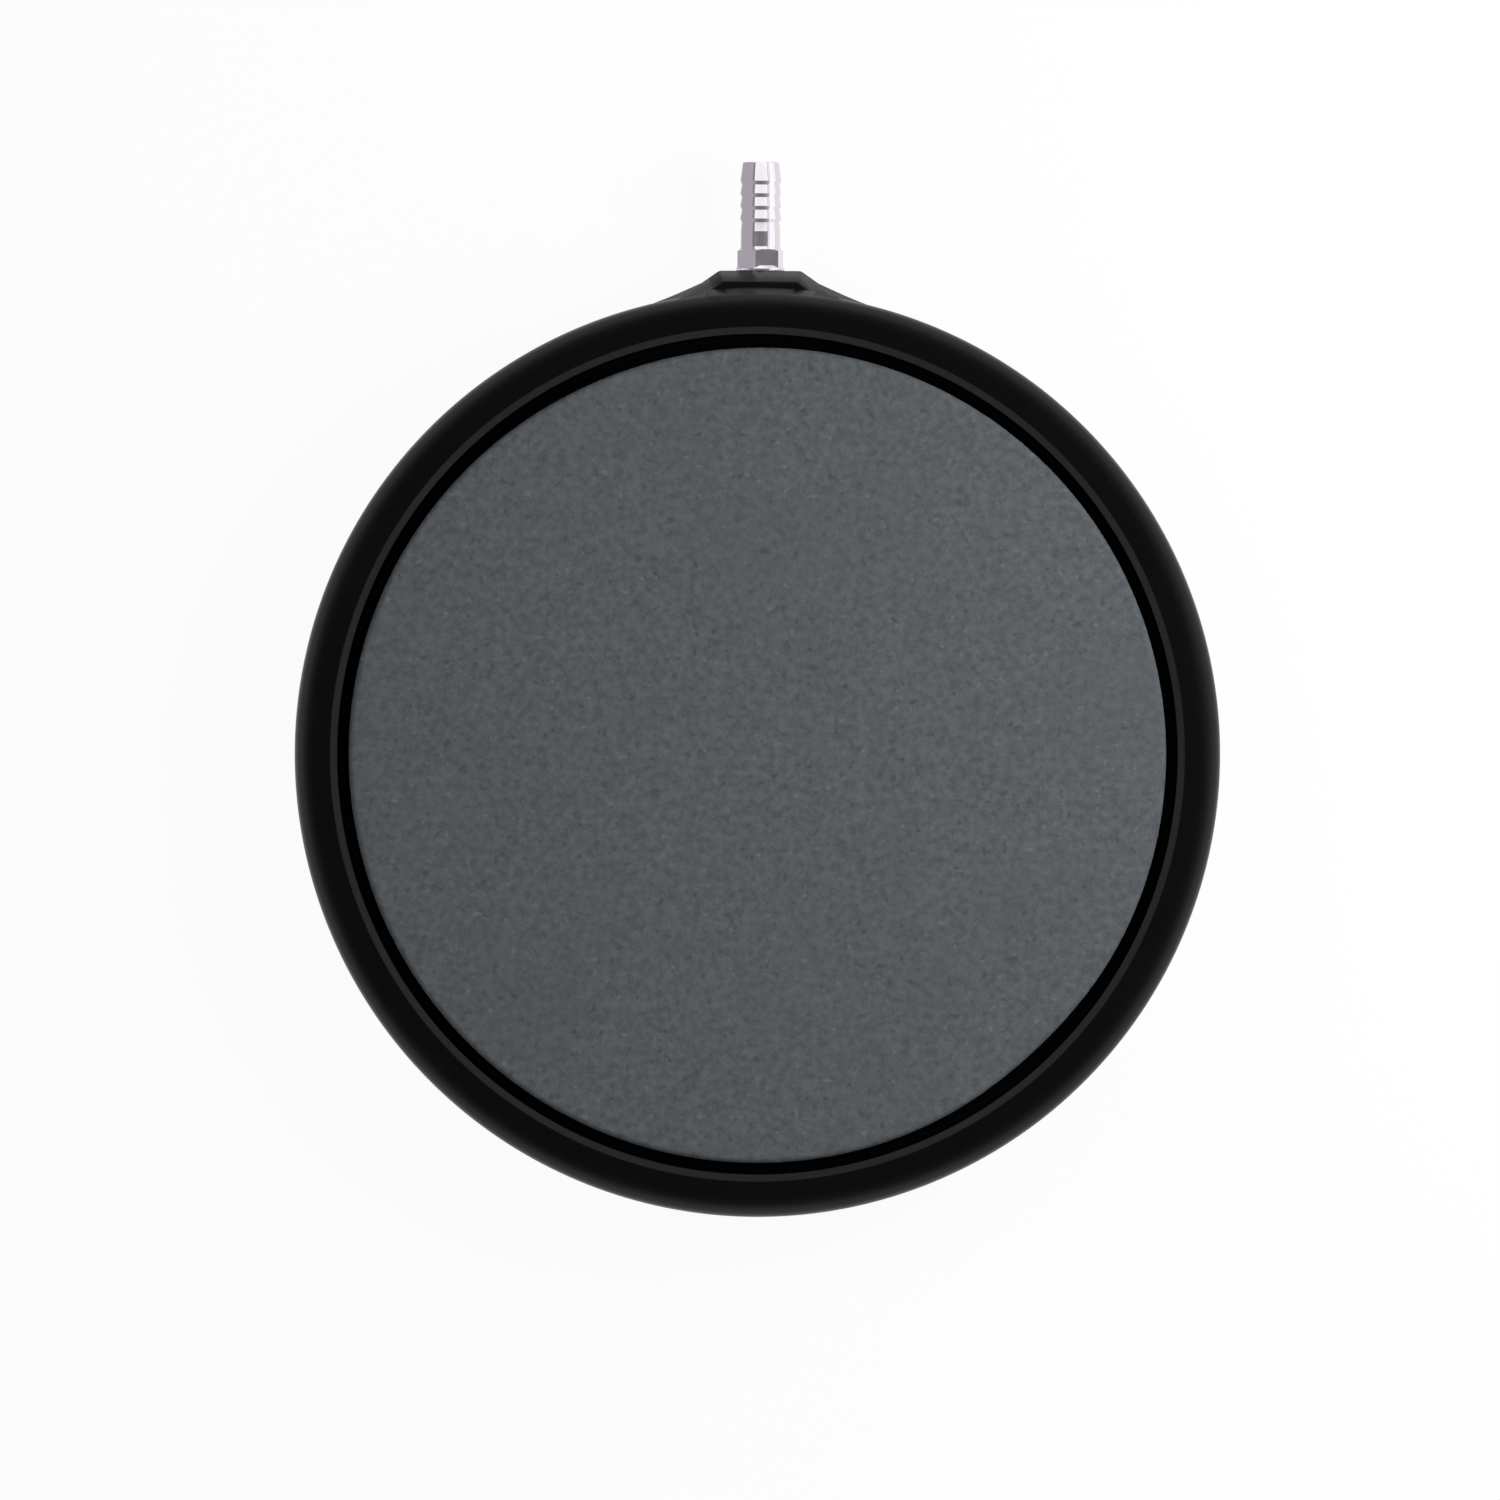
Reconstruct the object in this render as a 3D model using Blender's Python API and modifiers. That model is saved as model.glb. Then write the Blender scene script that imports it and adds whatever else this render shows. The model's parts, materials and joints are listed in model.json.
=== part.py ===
"""A round air stone for a pond or a large aquarium.

A porous ceramic disc is bonded into a black plastic housing, over a shallow air
chamber. A plated brass hose barb screws into a boss on the housing's side, against an
O-ring, and a duct leads from it into the chamber.

The disc's axis is +Z, the stone faces up and the hose barb points along +Y. The origin
is the centre of the base, on the surface that the housing stands on. Sizes are in metres.
"""

import math

import bmesh
import bpy
from mathutils import Matrix, Vector

# The ceramic disc, and the groove and rim round it. Together they make the disc's radius.
STONE_RADIUS = 0.0881
STONE_THICKNESS = 0.0095
STONE_EDGE_CHAMFER = 0.0007
GROOVE_WIDTH = 0.0027
RIM_WIDTH = 0.0092

# Heights of the housing, from the surface it stands on up to its crown.
UNDERSIDE_HEIGHT = 0.0056
FLOOR_THICKNESS = 0.0024
CHAMBER_DEPTH = 0.0066
STONE_RECESS = 0.0015

# The housing's moulded section.
WALL = 0.0024
SHOULDER_ROUND = 0.0045
LIP_WIDTH = 0.0015
LIP_DEPTH = 0.0014
LIP_ROUND = 0.0005
CHAMBER_CORNER_ROUND = 0.0015
LEDGE_WIDTH = 0.0065
OUTER_DRAFT = 0.0003
GROOVE_DRAFT = 0.0002
FOOT_CHAMFER = 0.0004

# Ribs under the floor and in the air chamber.
RIB_COUNT = 8
RIB_ROOT = 0.0022
RIB_TIP = 0.0016
RIB_CLEAR_OF_BASE = 0.0010
GUSSET_CLEAR_OF_BASE = 0.0015
GUSSET_TOP = 0.0110
HUB_RADIUS = 0.0060
RING_RIB_RADIUS = 0.0480
STONE_REST_INNER = 0.0260
STONE_REST_TO_WALL = 0.0180

# The bond between the stone and the housing.
BOND_BED = 0.0008
BOND_RISE = 0.0055

# The boss that carries the hose barb, in plan and in height, with a wing on either side. The
# top edges of both are cut to the same steep slope.
BOSS_REACH = 0.0043
BOSS_HALF_FACE = 0.0088
BOSS_SLANT_DEG = 35.0
BOSS_WALL = 0.0021
BOSS_ABOVE_AXIS = 0.0102
BOSS_BELOW_AXIS = 0.0083
TOP_SLOPE_DEG = 62.0
BOSS_SLOPE_WIDTH = 0.0018
BOSS_EDGE_ROUND = 0.0005
BOSS_WEB = 0.0015
POCKET_ABOVE_BARREL = 0.0004
POCKET_PAST_RIM = 0.0009
WING_PAST_FACE = 0.0036
WING_WIDTH = 0.0099
WING_BELOW_BOSS = 0.0016
WING_SIDE_HEIGHT = 0.0100
WING_END_DEG = 20.0
BARREL_WALL = 0.0022
DUCT_RADIUS = 0.0023
DUCT_WALL = 0.0020

# The hose barb, for a soft hose of 8 mm bore.
BARB_BORE_RADIUS = 0.0025
BARB_TIP_RADIUS = 0.0038
BARB_ROOT_RADIUS = 0.00415
BARB_TOOTH_HEIGHT = 0.00033
BARB_TOOTH_BACK = 0.0007
BARB_TEETH = 4
BARB_TOOTH_PITCH = 0.00272
BARB_TIP_LENGTH = 0.0041
BARB_NECK_LENGTH = 0.0066
BARB_NECK_RADIUS = 0.0043
BARB_FLARE = 0.00015
BARB_FLARE_LENGTH = 0.0006
BARB_TIP_CHAMFER = 0.0003
HEX_ACROSS_FLATS = 0.0090
HEX_LENGTH = 0.0035
HEX_CORNER_CHAMFER_DEG = 30.0
HEX_TURN_DEG = -11.5
FLANGE_PAST_SEAL = 0.0005
FLANGE_THICKNESS = 0.0009
SHANK_RADIUS = 0.0040
SHANK_LENGTH = 0.0096
SHANK_RELIEF_DEPTH = 0.0006

# The O-ring under the flange.
O_RING_SECTION = 0.0011
O_RING_CLEARANCE = 0.00015

# Clearance between pieces that seat on each other.
SEAT_GAP = 0.0003
# How far a shape runs past or into what it cuts or joins.
OVERRUN = 0.0010
# How far a slope that runs flush onto a rounded surface sinks into it.
FLUSH_SINK = 0.0001

# Facets round a full turn, and the least angle between facets that stays a sharp edge.
DISC_SEGMENTS = 96
BARB_SEGMENTS = 32
O_RING_SECTION_SEGMENTS = 10
WING_STEPS = 6
SADDLE_STEPS = 8
SHARP_ANGLE = math.radians(30)
# The longest straight piece of a rounded corner in a turned profile.
ARC_CHORD = 0.0012
# Points of a turned profile nearer to each other than this are one point on the axis.
MERGE_DISTANCE = 0.00001

# Sizes that follow from those above.
DISC_RADIUS = STONE_RADIUS + GROOVE_WIDTH + RIM_WIDTH
GROOVE_TOP_RADIUS = STONE_RADIUS + GROOVE_WIDTH
GROOVE_FOOT_RADIUS = GROOVE_TOP_RADIUS - GROOVE_DRAFT
CHAMBER_RADIUS = GROOVE_FOOT_RADIUS - LEDGE_WIDTH
FLOOR_TOP = UNDERSIDE_HEIGHT + FLOOR_THICKNESS
LEDGE_TOP = FLOOR_TOP + CHAMBER_DEPTH
LEDGE_UNDERSIDE = LEDGE_TOP - WALL
STONE_BOTTOM = LEDGE_TOP + BOND_BED + 2 * SEAT_GAP
STONE_TOP = STONE_BOTTOM + STONE_THICKNESS
CROWN_TOP = STONE_TOP + STONE_RECESS
FLOOR_MIDDLE = UNDERSIDE_HEIGHT + FLOOR_THICKNESS / 2
STONE_REST_OUTER = CHAMBER_RADIUS - STONE_REST_TO_WALL
CROWN_OUTER = DISC_RADIUS - SHOULDER_ROUND - OUTER_DRAFT
SHOULDER_FOOT = CROWN_TOP - SHOULDER_ROUND
FITTING_AXIS = FLOOR_TOP + CHAMBER_DEPTH / 2
BOSS_FACE = DISC_RADIUS + BOSS_REACH
BOSS_TOP = FITTING_AXIS + BOSS_ABOVE_AXIS
BOSS_BOTTOM = FITTING_AXIS - BOSS_BELOW_AXIS
WING_HALF_START = BOSS_HALF_FACE + WING_PAST_FACE
WING_HALF_SPAN = WING_HALF_START + WING_WIDTH
FLANGE_FACE = BOSS_FACE + SEAT_GAP
SHANK_RELIEF_RADIUS = SHANK_RADIUS - SHANK_RELIEF_DEPTH
SHANK_BORE_RADIUS = SHANK_RADIUS + SEAT_GAP
BARREL_RADIUS = SHANK_BORE_RADIUS + BARREL_WALL
POCKET_FLOOR = FITTING_AXIS + BARREL_RADIUS + POCKET_ABOVE_BARREL
SHANK_END = FLANGE_FACE - SHANK_LENGTH
SHANK_BORE_END = SHANK_END - 2 * SEAT_GAP
O_RING_RADIUS = SHANK_RELIEF_RADIUS + O_RING_CLEARANCE + O_RING_SECTION / 2
SEAL_POCKET_RADIUS = O_RING_RADIUS + O_RING_SECTION / 2 + O_RING_CLEARANCE
SEAL_POCKET_DEPTH = O_RING_SECTION + SEAT_GAP
FLANGE_RADIUS = SEAL_POCKET_RADIUS + FLANGE_PAST_SEAL
RELIEF_LENGTH = SEAL_POCKET_DEPTH + SEAT_GAP
BARB_LENGTH = BARB_TIP_LENGTH + (BARB_TEETH - 1) * BARB_TOOTH_PITCH + BARB_NECK_LENGTH


def clear_scene():
    for item in list(bpy.data.objects):
        bpy.data.objects.remove(item, do_unlink=True)


def new_collection(name):
    collection = bpy.data.collections.new(name)
    bpy.context.scene.collection.children.link(collection)
    return collection


def material(name, colour, roughness, metallic=0.0):
    made = bpy.data.materials.new(name)
    made.use_nodes = True
    shader = made.node_tree.nodes["Principled BSDF"]
    shader.inputs["Base Color"].default_value = (*colour, 1.0)
    shader.inputs["Roughness"].default_value = roughness
    shader.inputs["Metallic"].default_value = metallic
    return made


def add_object(name, shape, collection):
    """An object of the bmesh's shape, which is freed."""
    mesh = bpy.data.meshes.new(name)
    shape.to_mesh(mesh)
    shape.free()
    made = bpy.data.objects.new(name, mesh)
    collection.objects.link(made)
    return made


def helper(name, shape):
    """A cutter, or a shape that is joined to a part. It isn't a part itself."""
    made = add_object(name, shape, HELPERS)
    made.hide_render = True
    made.display_type = "WIRE"
    return made


def combine(target, other, operation):
    step = target.modifiers.new(f"{operation.lower()} {other.name}", "BOOLEAN")
    step.operation = operation
    step.solver = "EXACT"
    step.object = other


def round_edges(target, width, segments=2):
    step = target.modifiers.new("rounded edges", "BEVEL")
    step.width = width
    step.segments = segments
    step.limit_method = "ANGLE"
    step.angle_limit = SHARP_ANGLE


def shade_round(target):
    target.data.shade_smooth()
    target.data.set_sharp_from_angle(angle=SHARP_ANGLE)


def arc(centre_r, centre_z, radius, start_deg, end_deg, steps):
    """Points on a round stretch of a profile, with both of its ends."""
    points = []
    for i in range(steps + 1):
        angle = math.radians(start_deg + (end_deg - start_deg) * i / steps)
        points.append((centre_r + radius * math.cos(angle), centre_z + radius * math.sin(angle)))
    return points


def rounded(corners):
    """A profile through corners of (radius, height, rounding), each of them rounded by an arc."""
    points = [corners[0][:2]]
    for before, corner, after in zip(corners, corners[1:], corners[2:]):
        here = Vector(corner[:2])
        rounding = corner[2]
        if rounding == 0:
            points.append(tuple(here))
            continue
        back = (Vector(before[:2]) - here).normalized()
        ahead = (Vector(after[:2]) - here).normalized()
        half = back.angle(ahead) / 2
        centre = here + (back + ahead).normalized() * rounding / math.sin(half)
        start = here + back * rounding / math.tan(half) - centre
        end = here + ahead * rounding / math.tan(half) - centre
        steps = max(2, math.ceil(rounding * (math.pi - 2 * half) / ARC_CHORD))
        points += [tuple(centre + start.slerp(end, i / steps) * rounding) for i in range(steps + 1)]
    return points + [corners[-1][:2]]


def profile_shape(points, closed):
    """An outline in the XZ plane, as edges, for a Screw modifier to turn round Z."""
    shape = bmesh.new()
    verts = [shape.verts.new((r, 0, z)) for r, z in points]
    for first, second in zip(verts, verts[1:]):
        shape.edges.new((first, second))
    if closed:
        shape.edges.new((verts[-1], verts[0]))
    return shape


def turn(target, segments):
    step = target.modifiers.new("turned", "SCREW")
    step.axis = "Z"
    step.steps = segments
    step.render_steps = segments
    step.use_merge_vertices = True
    step.merge_threshold = MERGE_DISTANCE
    step.use_smooth_shade = False


def prism(outline, low, high):
    """An outline in the XY plane raised from low to high."""
    shape = bmesh.new()
    base = shape.faces.new([shape.verts.new((x, y, low)) for x, y in outline])
    raised = bmesh.ops.extrude_face_region(shape, geom=[base])["geom"]
    verts = [item for item in raised if isinstance(item, bmesh.types.BMVert)]
    bmesh.ops.translate(shape, verts=verts, vec=(0, 0, high - low))
    bmesh.ops.recalc_face_normals(shape, faces=shape.faces)
    return shape


def lofted(rings):
    """A closed shape through rings of as many points each, which come one after another."""
    shape = bmesh.new()
    rings = [[shape.verts.new(point) for point in ring] for ring in rings]
    shape.faces.new(rings[0])
    shape.faces.new(rings[-1])
    for before, after in zip(rings, rings[1:]):
        for i in range(len(before)):
            shape.faces.new((before[i - 1], before[i], after[i], after[i - 1]))
    bmesh.ops.recalc_face_normals(shape, faces=shape.faces)
    return shape


def radial_section(x, y, profile):
    """A profile of (radius, height) points stood up on the line from the disc's axis to (x, y)."""
    out = Vector((x, y)).normalized()
    return [(out.x * radius, out.y * radius, height) for radius, height in profile]


def cylinder_along_y(radius, start, end, height, segments):
    """A cylinder along Y from start to end, with its axis at this height."""
    shape = bmesh.new()
    bmesh.ops.create_cone(
        shape,
        cap_ends=True,
        segments=segments,
        radius1=radius,
        radius2=radius,
        depth=abs(end - start),
        matrix=Matrix.Translation((0, (start + end) / 2, height)) @ Matrix.Rotation(math.pi / 2, 4, "X"),
    )
    return shape


def mirrored(side):
    """A right-hand outline, front to back, with its left-hand mirror."""
    return side + [(-x, y) for x, y in reversed(side)]


def on_circle(radius, x):
    """How far along Y the circle of this radius lies at x."""
    return math.sqrt(radius**2 - x**2)


def half_face(inset):
    """Half the width of the boss's front face, or of a face set in by this much from it."""
    return BOSS_HALF_FACE - inset * math.tan(math.radians(BOSS_SLANT_DEG / 2))


def slant_y(x, inset=0.0):
    """Y on the slanted side of the boss's plan, or on a line set in by this much from it."""
    return BOSS_FACE - inset - (x - half_face(inset)) * math.tan(math.radians(BOSS_SLANT_DEG))


def slant_meets(radius, inset):
    """The X at which the slanted side, set in by this much, reaches the circle of this radius."""
    slope = math.tan(math.radians(BOSS_SLANT_DEG))
    at_centre = slant_y(0, inset)
    square = 1 + slope**2
    inside = (slope * at_centre) ** 2 - square * (at_centre**2 - radius**2)
    return (slope * at_centre - math.sqrt(inside)) / square


# ---------------------------------------------------------------- housing


def housing_profile():
    """Half of the moulding's section, from the floor's centre over the rim and back under."""
    lip_outer = GROOVE_TOP_RADIUS + LIP_WIDTH
    channel_outer = DISC_RADIUS - WALL
    channel_inner = GROOVE_TOP_RADIUS + WALL
    channel_top = CROWN_TOP - WALL
    inner_round = SHOULDER_ROUND - WALL
    return rounded(
        [
            (0, FLOOR_TOP, 0),
            (CHAMBER_RADIUS, FLOOR_TOP, CHAMBER_CORNER_ROUND),
            (CHAMBER_RADIUS, LEDGE_TOP, 0),
            (GROOVE_FOOT_RADIUS, LEDGE_TOP, 0),
            (GROOVE_TOP_RADIUS, CROWN_TOP - LIP_DEPTH, LIP_ROUND),
            (lip_outer, CROWN_TOP, LIP_ROUND),
            (DISC_RADIUS - OUTER_DRAFT, CROWN_TOP, SHOULDER_ROUND),
            (DISC_RADIUS, FOOT_CHAMFER, 0),
            (DISC_RADIUS - FOOT_CHAMFER, 0, 0),
            (channel_outer, 0, 0),
            (channel_outer - OUTER_DRAFT, channel_top, inner_round),
            (channel_inner, channel_top, 0),
            (channel_inner, LEDGE_UNDERSIDE, 0),
            (CHAMBER_RADIUS + WALL, LEDGE_UNDERSIDE, 0),
            (CHAMBER_RADIUS + WALL, UNDERSIDE_HEIGHT, 0),
            (0, UNDERSIDE_HEIGHT, 0),
        ]
    )


def boss_plan(inset=0.0):
    """The boss without its wings: a flat front and two slanted sides that run into the rim."""
    back = DISC_RADIUS - WALL / 2
    end = slant_meets(back, inset)
    side = [(half_face(inset), BOSS_FACE - inset)]
    side += [(end * share, on_circle(back, end * share)) for share in (1, 2 / 3, 1 / 3)]
    return mirrored(side)


def boss_body():
    """The boss as a block, whose top edge is cut to a steep slope."""
    drop = BOSS_SLOPE_WIDTH * math.tan(math.radians(TOP_SLOPE_DEG))
    levels = [(BOSS_BOTTOM, 0.0), (BOSS_TOP - drop, 0.0), (BOSS_TOP, BOSS_SLOPE_WIDTH)]
    rings = [[(x, y, height) for x, y in boss_plan(inset)] for height, inset in levels]
    made = helper("boss_body", lofted(rings))
    round_edges(made, BOSS_EDGE_ROUND)
    return made


def wing_edge():
    """The outer edge of the right wing's plan, from inside the boss to inside the rim's wall."""
    start_y = slant_y(WING_HALF_START)
    end_y = on_circle(DISC_RADIUS, WING_HALF_SPAN)
    knee = WING_HALF_SPAN - WING_WIDTH / 3
    knee_y = end_y + (WING_HALF_SPAN - knee) * math.tan(math.radians(WING_END_DEG))
    in_boss = WING_HALF_START - BOSS_WALL / 2
    edge = [(in_boss, slant_y(in_boss, BOSS_WALL / 2))]
    for i in range(WING_STEPS + 1):
        share = i / WING_STEPS
        rest = 1 - share
        x = rest**2 * WING_HALF_START + 2 * rest * share * knee + share**2 * WING_HALF_SPAN
        y = rest**2 * start_y + 2 * rest * share * knee_y + share**2 * end_y
        edge.append((x, y))
    in_rim = WING_HALF_SPAN + WALL
    edge.append((in_rim, on_circle(DISC_RADIUS - WALL / 6, in_rim)))
    return edge


def wing(side):
    """The fairing that leads the rim's outline out to the boss, on the side of X that is given."""
    back = DISC_RADIUS - WALL * 3 / 4
    within = DISC_RADIUS - WALL / 4
    low = BOSS_BOTTOM + WING_BELOW_BOSS
    foot = low + WING_SIDE_HEIGHT
    rings = []
    for x, y in wing_edge():
        outer = math.hypot(x, y)
        top = foot + (outer - within) * math.tan(math.radians(TOP_SLOPE_DEG))
        profile = [(back, low), (outer, low), (outer, foot), (within, top), (back, top)]
        rings.append(radial_section(side * x, y, profile))
    return helper(f"wing_{'right' if side > 0 else 'left'}", lofted(rings))


def saddle():
    """The slope from the rim's shoulder down to the crest behind the pocket."""
    wall = DISC_RADIUS - OUTER_DRAFT
    back = DISC_RADIUS - WALL * 5 / 8
    end = slant_meets(DISC_RADIUS, BOSS_SLOPE_WIDTH / 2)
    round_radius = SHOULDER_ROUND - FLUSH_SINK
    foot = BOSS_TOP - OVERRUN / 2
    below = SHOULDER_FOOT - BOSS_TOP
    rings = []
    for i in range(SADDLE_STEPS + 1):
        share = 2 * i / SADDLE_STEPS - 1
        crest = wall + POCKET_PAST_RIM * (1 - share**2)
        across = crest - CROWN_OUTER
        angle = math.acos(round_radius / math.hypot(across, below)) - math.atan2(below, across)
        top_radius = CROWN_OUTER + round_radius * math.cos(angle)
        top = SHOULDER_FOOT + round_radius * math.sin(angle)
        foot_radius = crest + (BOSS_TOP - foot) * math.tan(angle)
        profile = [(back, foot), (foot_radius, foot), (top_radius, top), (back, top)]
        rings.append(radial_section(end * share, on_circle(DISC_RADIUS, end * share), profile))
    return helper("saddle", lofted(rings))


def pocket():
    """The pocket above the barrel, between the boss's front and slanted walls and the rim."""
    crest = DISC_RADIUS - OUTER_DRAFT + POCKET_PAST_RIM
    end = slant_meets(crest, BOSS_WALL)
    side = [(half_face(BOSS_WALL), BOSS_FACE - BOSS_WALL)]
    side += [(end * share, on_circle(crest, end * share)) for share in (1, 2 / 3, 1 / 3)]
    return helper("boss_pocket", prism(mirrored(side), POCKET_FLOOR, BOSS_TOP + OVERRUN))


def hollow():
    """The space under the pocket's floor, which opens into the rim's channel."""
    deep = DISC_RADIUS - 2 * WALL
    half_back = half_face(BOSS_WALL) + (BOSS_FACE - BOSS_WALL - deep) / math.tan(math.radians(BOSS_SLANT_DEG))
    outline = mirrored([(half_face(BOSS_WALL), BOSS_FACE - BOSS_WALL), (half_back, deep)])
    return helper("boss_hollow", prism(outline, BOSS_BOTTOM - OVERRUN, POCKET_FLOOR - BOSS_WEB))


def boss():
    """The boss with its wings, open above the barrel and on its underside."""
    body = boss_body()
    for shape in (wing(1), wing(-1), saddle()):
        combine(body, shape, "UNION")
    combine(body, pocket(), "DIFFERENCE")
    combine(body, hollow(), "DIFFERENCE")
    return body


def barrel():
    """The thick-walled tube that the fitting's shank screws into."""
    start = SHANK_BORE_END - BARREL_WALL
    end = BOSS_FACE - BOSS_WALL / 2
    return helper("barrel", cylinder_along_y(BARREL_RADIUS, start, end, FITTING_AXIS, BARB_SEGMENTS))


def duct_shroud():
    """The wall round the duct under the ledge, round below and flat where it meets the ledge."""
    radius = DUCT_RADIUS + DUCT_WALL
    top = LEDGE_TOP - WALL / 3
    inner = CHAMBER_RADIUS + WALL / 2
    outer = SHANK_BORE_END
    outline = [(radius, top)] + arc(0, FITTING_AXIS, radius, 0, -180, 8) + [(-radius, top)]
    shape = prism(outline, 0, outer - inner)
    shape.transform(Matrix.Translation((0, outer, 0)) @ Matrix.Rotation(math.pi / 2, 4, "X"))
    return helper("duct_shroud", shape)


def rib(name, inner, outer, low, high, tip_low):
    """An upright radial rib along +X that thins towards its free edge."""
    shape = bmesh.new()
    bmesh.ops.create_cube(shape, size=1.0)
    for vert in shape.verts:
        is_tip = (vert.co.z < 0) == tip_low
        thickness = RIB_TIP if is_tip else RIB_ROOT
        vert.co.x = inner if vert.co.x < 0 else outer
        vert.co.y = math.copysign(thickness / 2, vert.co.y)
        vert.co.z = low if vert.co.z < 0 else high
    return helper(name, shape)


def turned_copy(source, name, angle):
    made = source.copy()
    made.name = name
    made.rotation_euler.z = angle
    HELPERS.objects.link(made)
    return made


def hub():
    """The solid foot under the middle of the floor, where the ribs meet."""
    shape = bmesh.new()
    bmesh.ops.create_cone(
        shape,
        cap_ends=True,
        segments=BARB_SEGMENTS,
        radius1=HUB_RADIUS,
        radius2=HUB_RADIUS,
        depth=FLOOR_MIDDLE,
        matrix=Matrix.Translation((0, 0, FLOOR_MIDDLE / 2)),
    )
    return helper("hub", shape)


def ring_rib():
    """The round rib that ties the radial ribs together under the floor."""
    root = [(RING_RIB_RADIUS + side * RIB_ROOT / 2, FLOOR_MIDDLE) for side in (-1, 1)]
    edge = [(RING_RIB_RADIUS + side * RIB_TIP / 2, RIB_CLEAR_OF_BASE) for side in (1, -1)]
    made = helper("ring_rib", profile_shape(root + edge, closed=True))
    turn(made, DISC_SEGMENTS // 2)
    return made


def add_ribs(housing):
    """Radial ribs under the floor and gussets across the rim, with ribs in the chamber above them."""
    low = RIB_CLEAR_OF_BASE
    wall_middle = CHAMBER_RADIUS + WALL / 2
    in_floor = UNDERSIDE_HEIGHT + FLOOR_THICKNESS / 3
    under = rib("rib_under", 0, wall_middle, low, in_floor, tip_low=True)
    rim_middle = DISC_RADIUS - WALL / 2
    in_wall = wall_middle - WALL / 4
    gusset = rib("gusset", in_wall, rim_middle, GUSSET_CLEAR_OF_BASE, GUSSET_TOP, tip_low=True)
    top = STONE_BOTTOM - SEAT_GAP
    foot = FLOOR_TOP - FLOOR_THICKNESS / 3
    rest = rib("stone_rest", STONE_REST_INNER, STONE_REST_OUTER, foot, top, tip_low=False)
    for source in (under, gusset, rest):
        combine(housing, source, "UNION")
        for i in range(1, RIB_COUNT):
            copy = turned_copy(source, f"{source.name}_{i + 1}", i * 2 * math.pi / RIB_COUNT)
            combine(housing, copy, "UNION")
    combine(housing, ring_rib(), "UNION")
    combine(housing, hub(), "UNION")


def housing():
    """The one-piece moulding: rim, stone ledge, chamber floor, ribs and boss."""
    made = add_object("housing", profile_shape(housing_profile(), closed=False), PARTS)
    turn(made, DISC_SEGMENTS)
    add_ribs(made)
    combine(made, boss(), "UNION")
    combine(made, barrel(), "UNION")
    combine(made, duct_shroud(), "UNION")
    mouth = BOSS_FACE + OVERRUN
    bore = cylinder_along_y(SHANK_BORE_RADIUS, SHANK_BORE_END, mouth, FITTING_AXIS, BARB_SEGMENTS)
    combine(made, helper("shank_bore", bore), "DIFFERENCE")
    pocket_end = BOSS_FACE - SEAL_POCKET_DEPTH
    pocket = cylinder_along_y(SEAL_POCKET_RADIUS, pocket_end, mouth, FITTING_AXIS, BARB_SEGMENTS)
    combine(made, helper("seal_pocket", pocket), "DIFFERENCE")
    inner = CHAMBER_RADIUS - 2 * OVERRUN
    outer = SHANK_BORE_END + OVERRUN
    duct = cylinder_along_y(DUCT_RADIUS, inner, outer, FITTING_AXIS, BARB_SEGMENTS // 2)
    combine(made, helper("duct", duct), "DIFFERENCE")
    made.data.materials.append(material("black ABS", (0.006, 0.006, 0.007), 0.32))


# ---------------------------------------------------------------- stone and its bond


def stone_disc():
    """The porous ceramic disc that the air comes out of."""
    edge = STONE_RADIUS
    inset = STONE_RADIUS - STONE_EDGE_CHAMFER
    points = [(0, STONE_THICKNESS), (inset, STONE_THICKNESS)]
    points += [(edge, STONE_THICKNESS - STONE_EDGE_CHAMFER), (edge, STONE_EDGE_CHAMFER), (inset, 0), (0, 0)]
    made = add_object("stone_disc", profile_shape(points, closed=False), PARTS)
    turn(made, DISC_SEGMENTS)
    made.location.z = STONE_BOTTOM
    made.data.materials.append(material("grey ceramic", (0.088, 0.100, 0.107), 0.95))


def adhesive_ring():
    """The cured bead: a bed under the stone's edge, and a fillet that fills the groove's foot."""
    bed_inner = CHAMBER_RADIUS + SEAT_GAP
    bead_inner = STONE_RADIUS + SEAT_GAP
    wall = GROOVE_FOOT_RADIUS - SEAT_GAP
    bed_top = SEAT_GAP + BOND_BED
    bead_top = bed_top + BOND_RISE
    dip = (wall - bead_inner) / 3
    points = [(bead_inner, bead_top), (bead_inner + dip, bead_top - dip), (wall - dip, bead_top - dip)]
    points += [(wall, bead_top), (wall, SEAT_GAP), (bed_inner, SEAT_GAP), (bed_inner, bed_top)]
    points += [(bead_inner, bed_top)]
    made = add_object("adhesive_ring", profile_shape(points, closed=True), PARTS)
    turn(made, DISC_SEGMENTS)
    made.location.z = LEDGE_TOP
    made.data.materials.append(material("black silicone", (0.005, 0.005, 0.006), 0.45))


# ---------------------------------------------------------------- hose barb and O-ring


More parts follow.
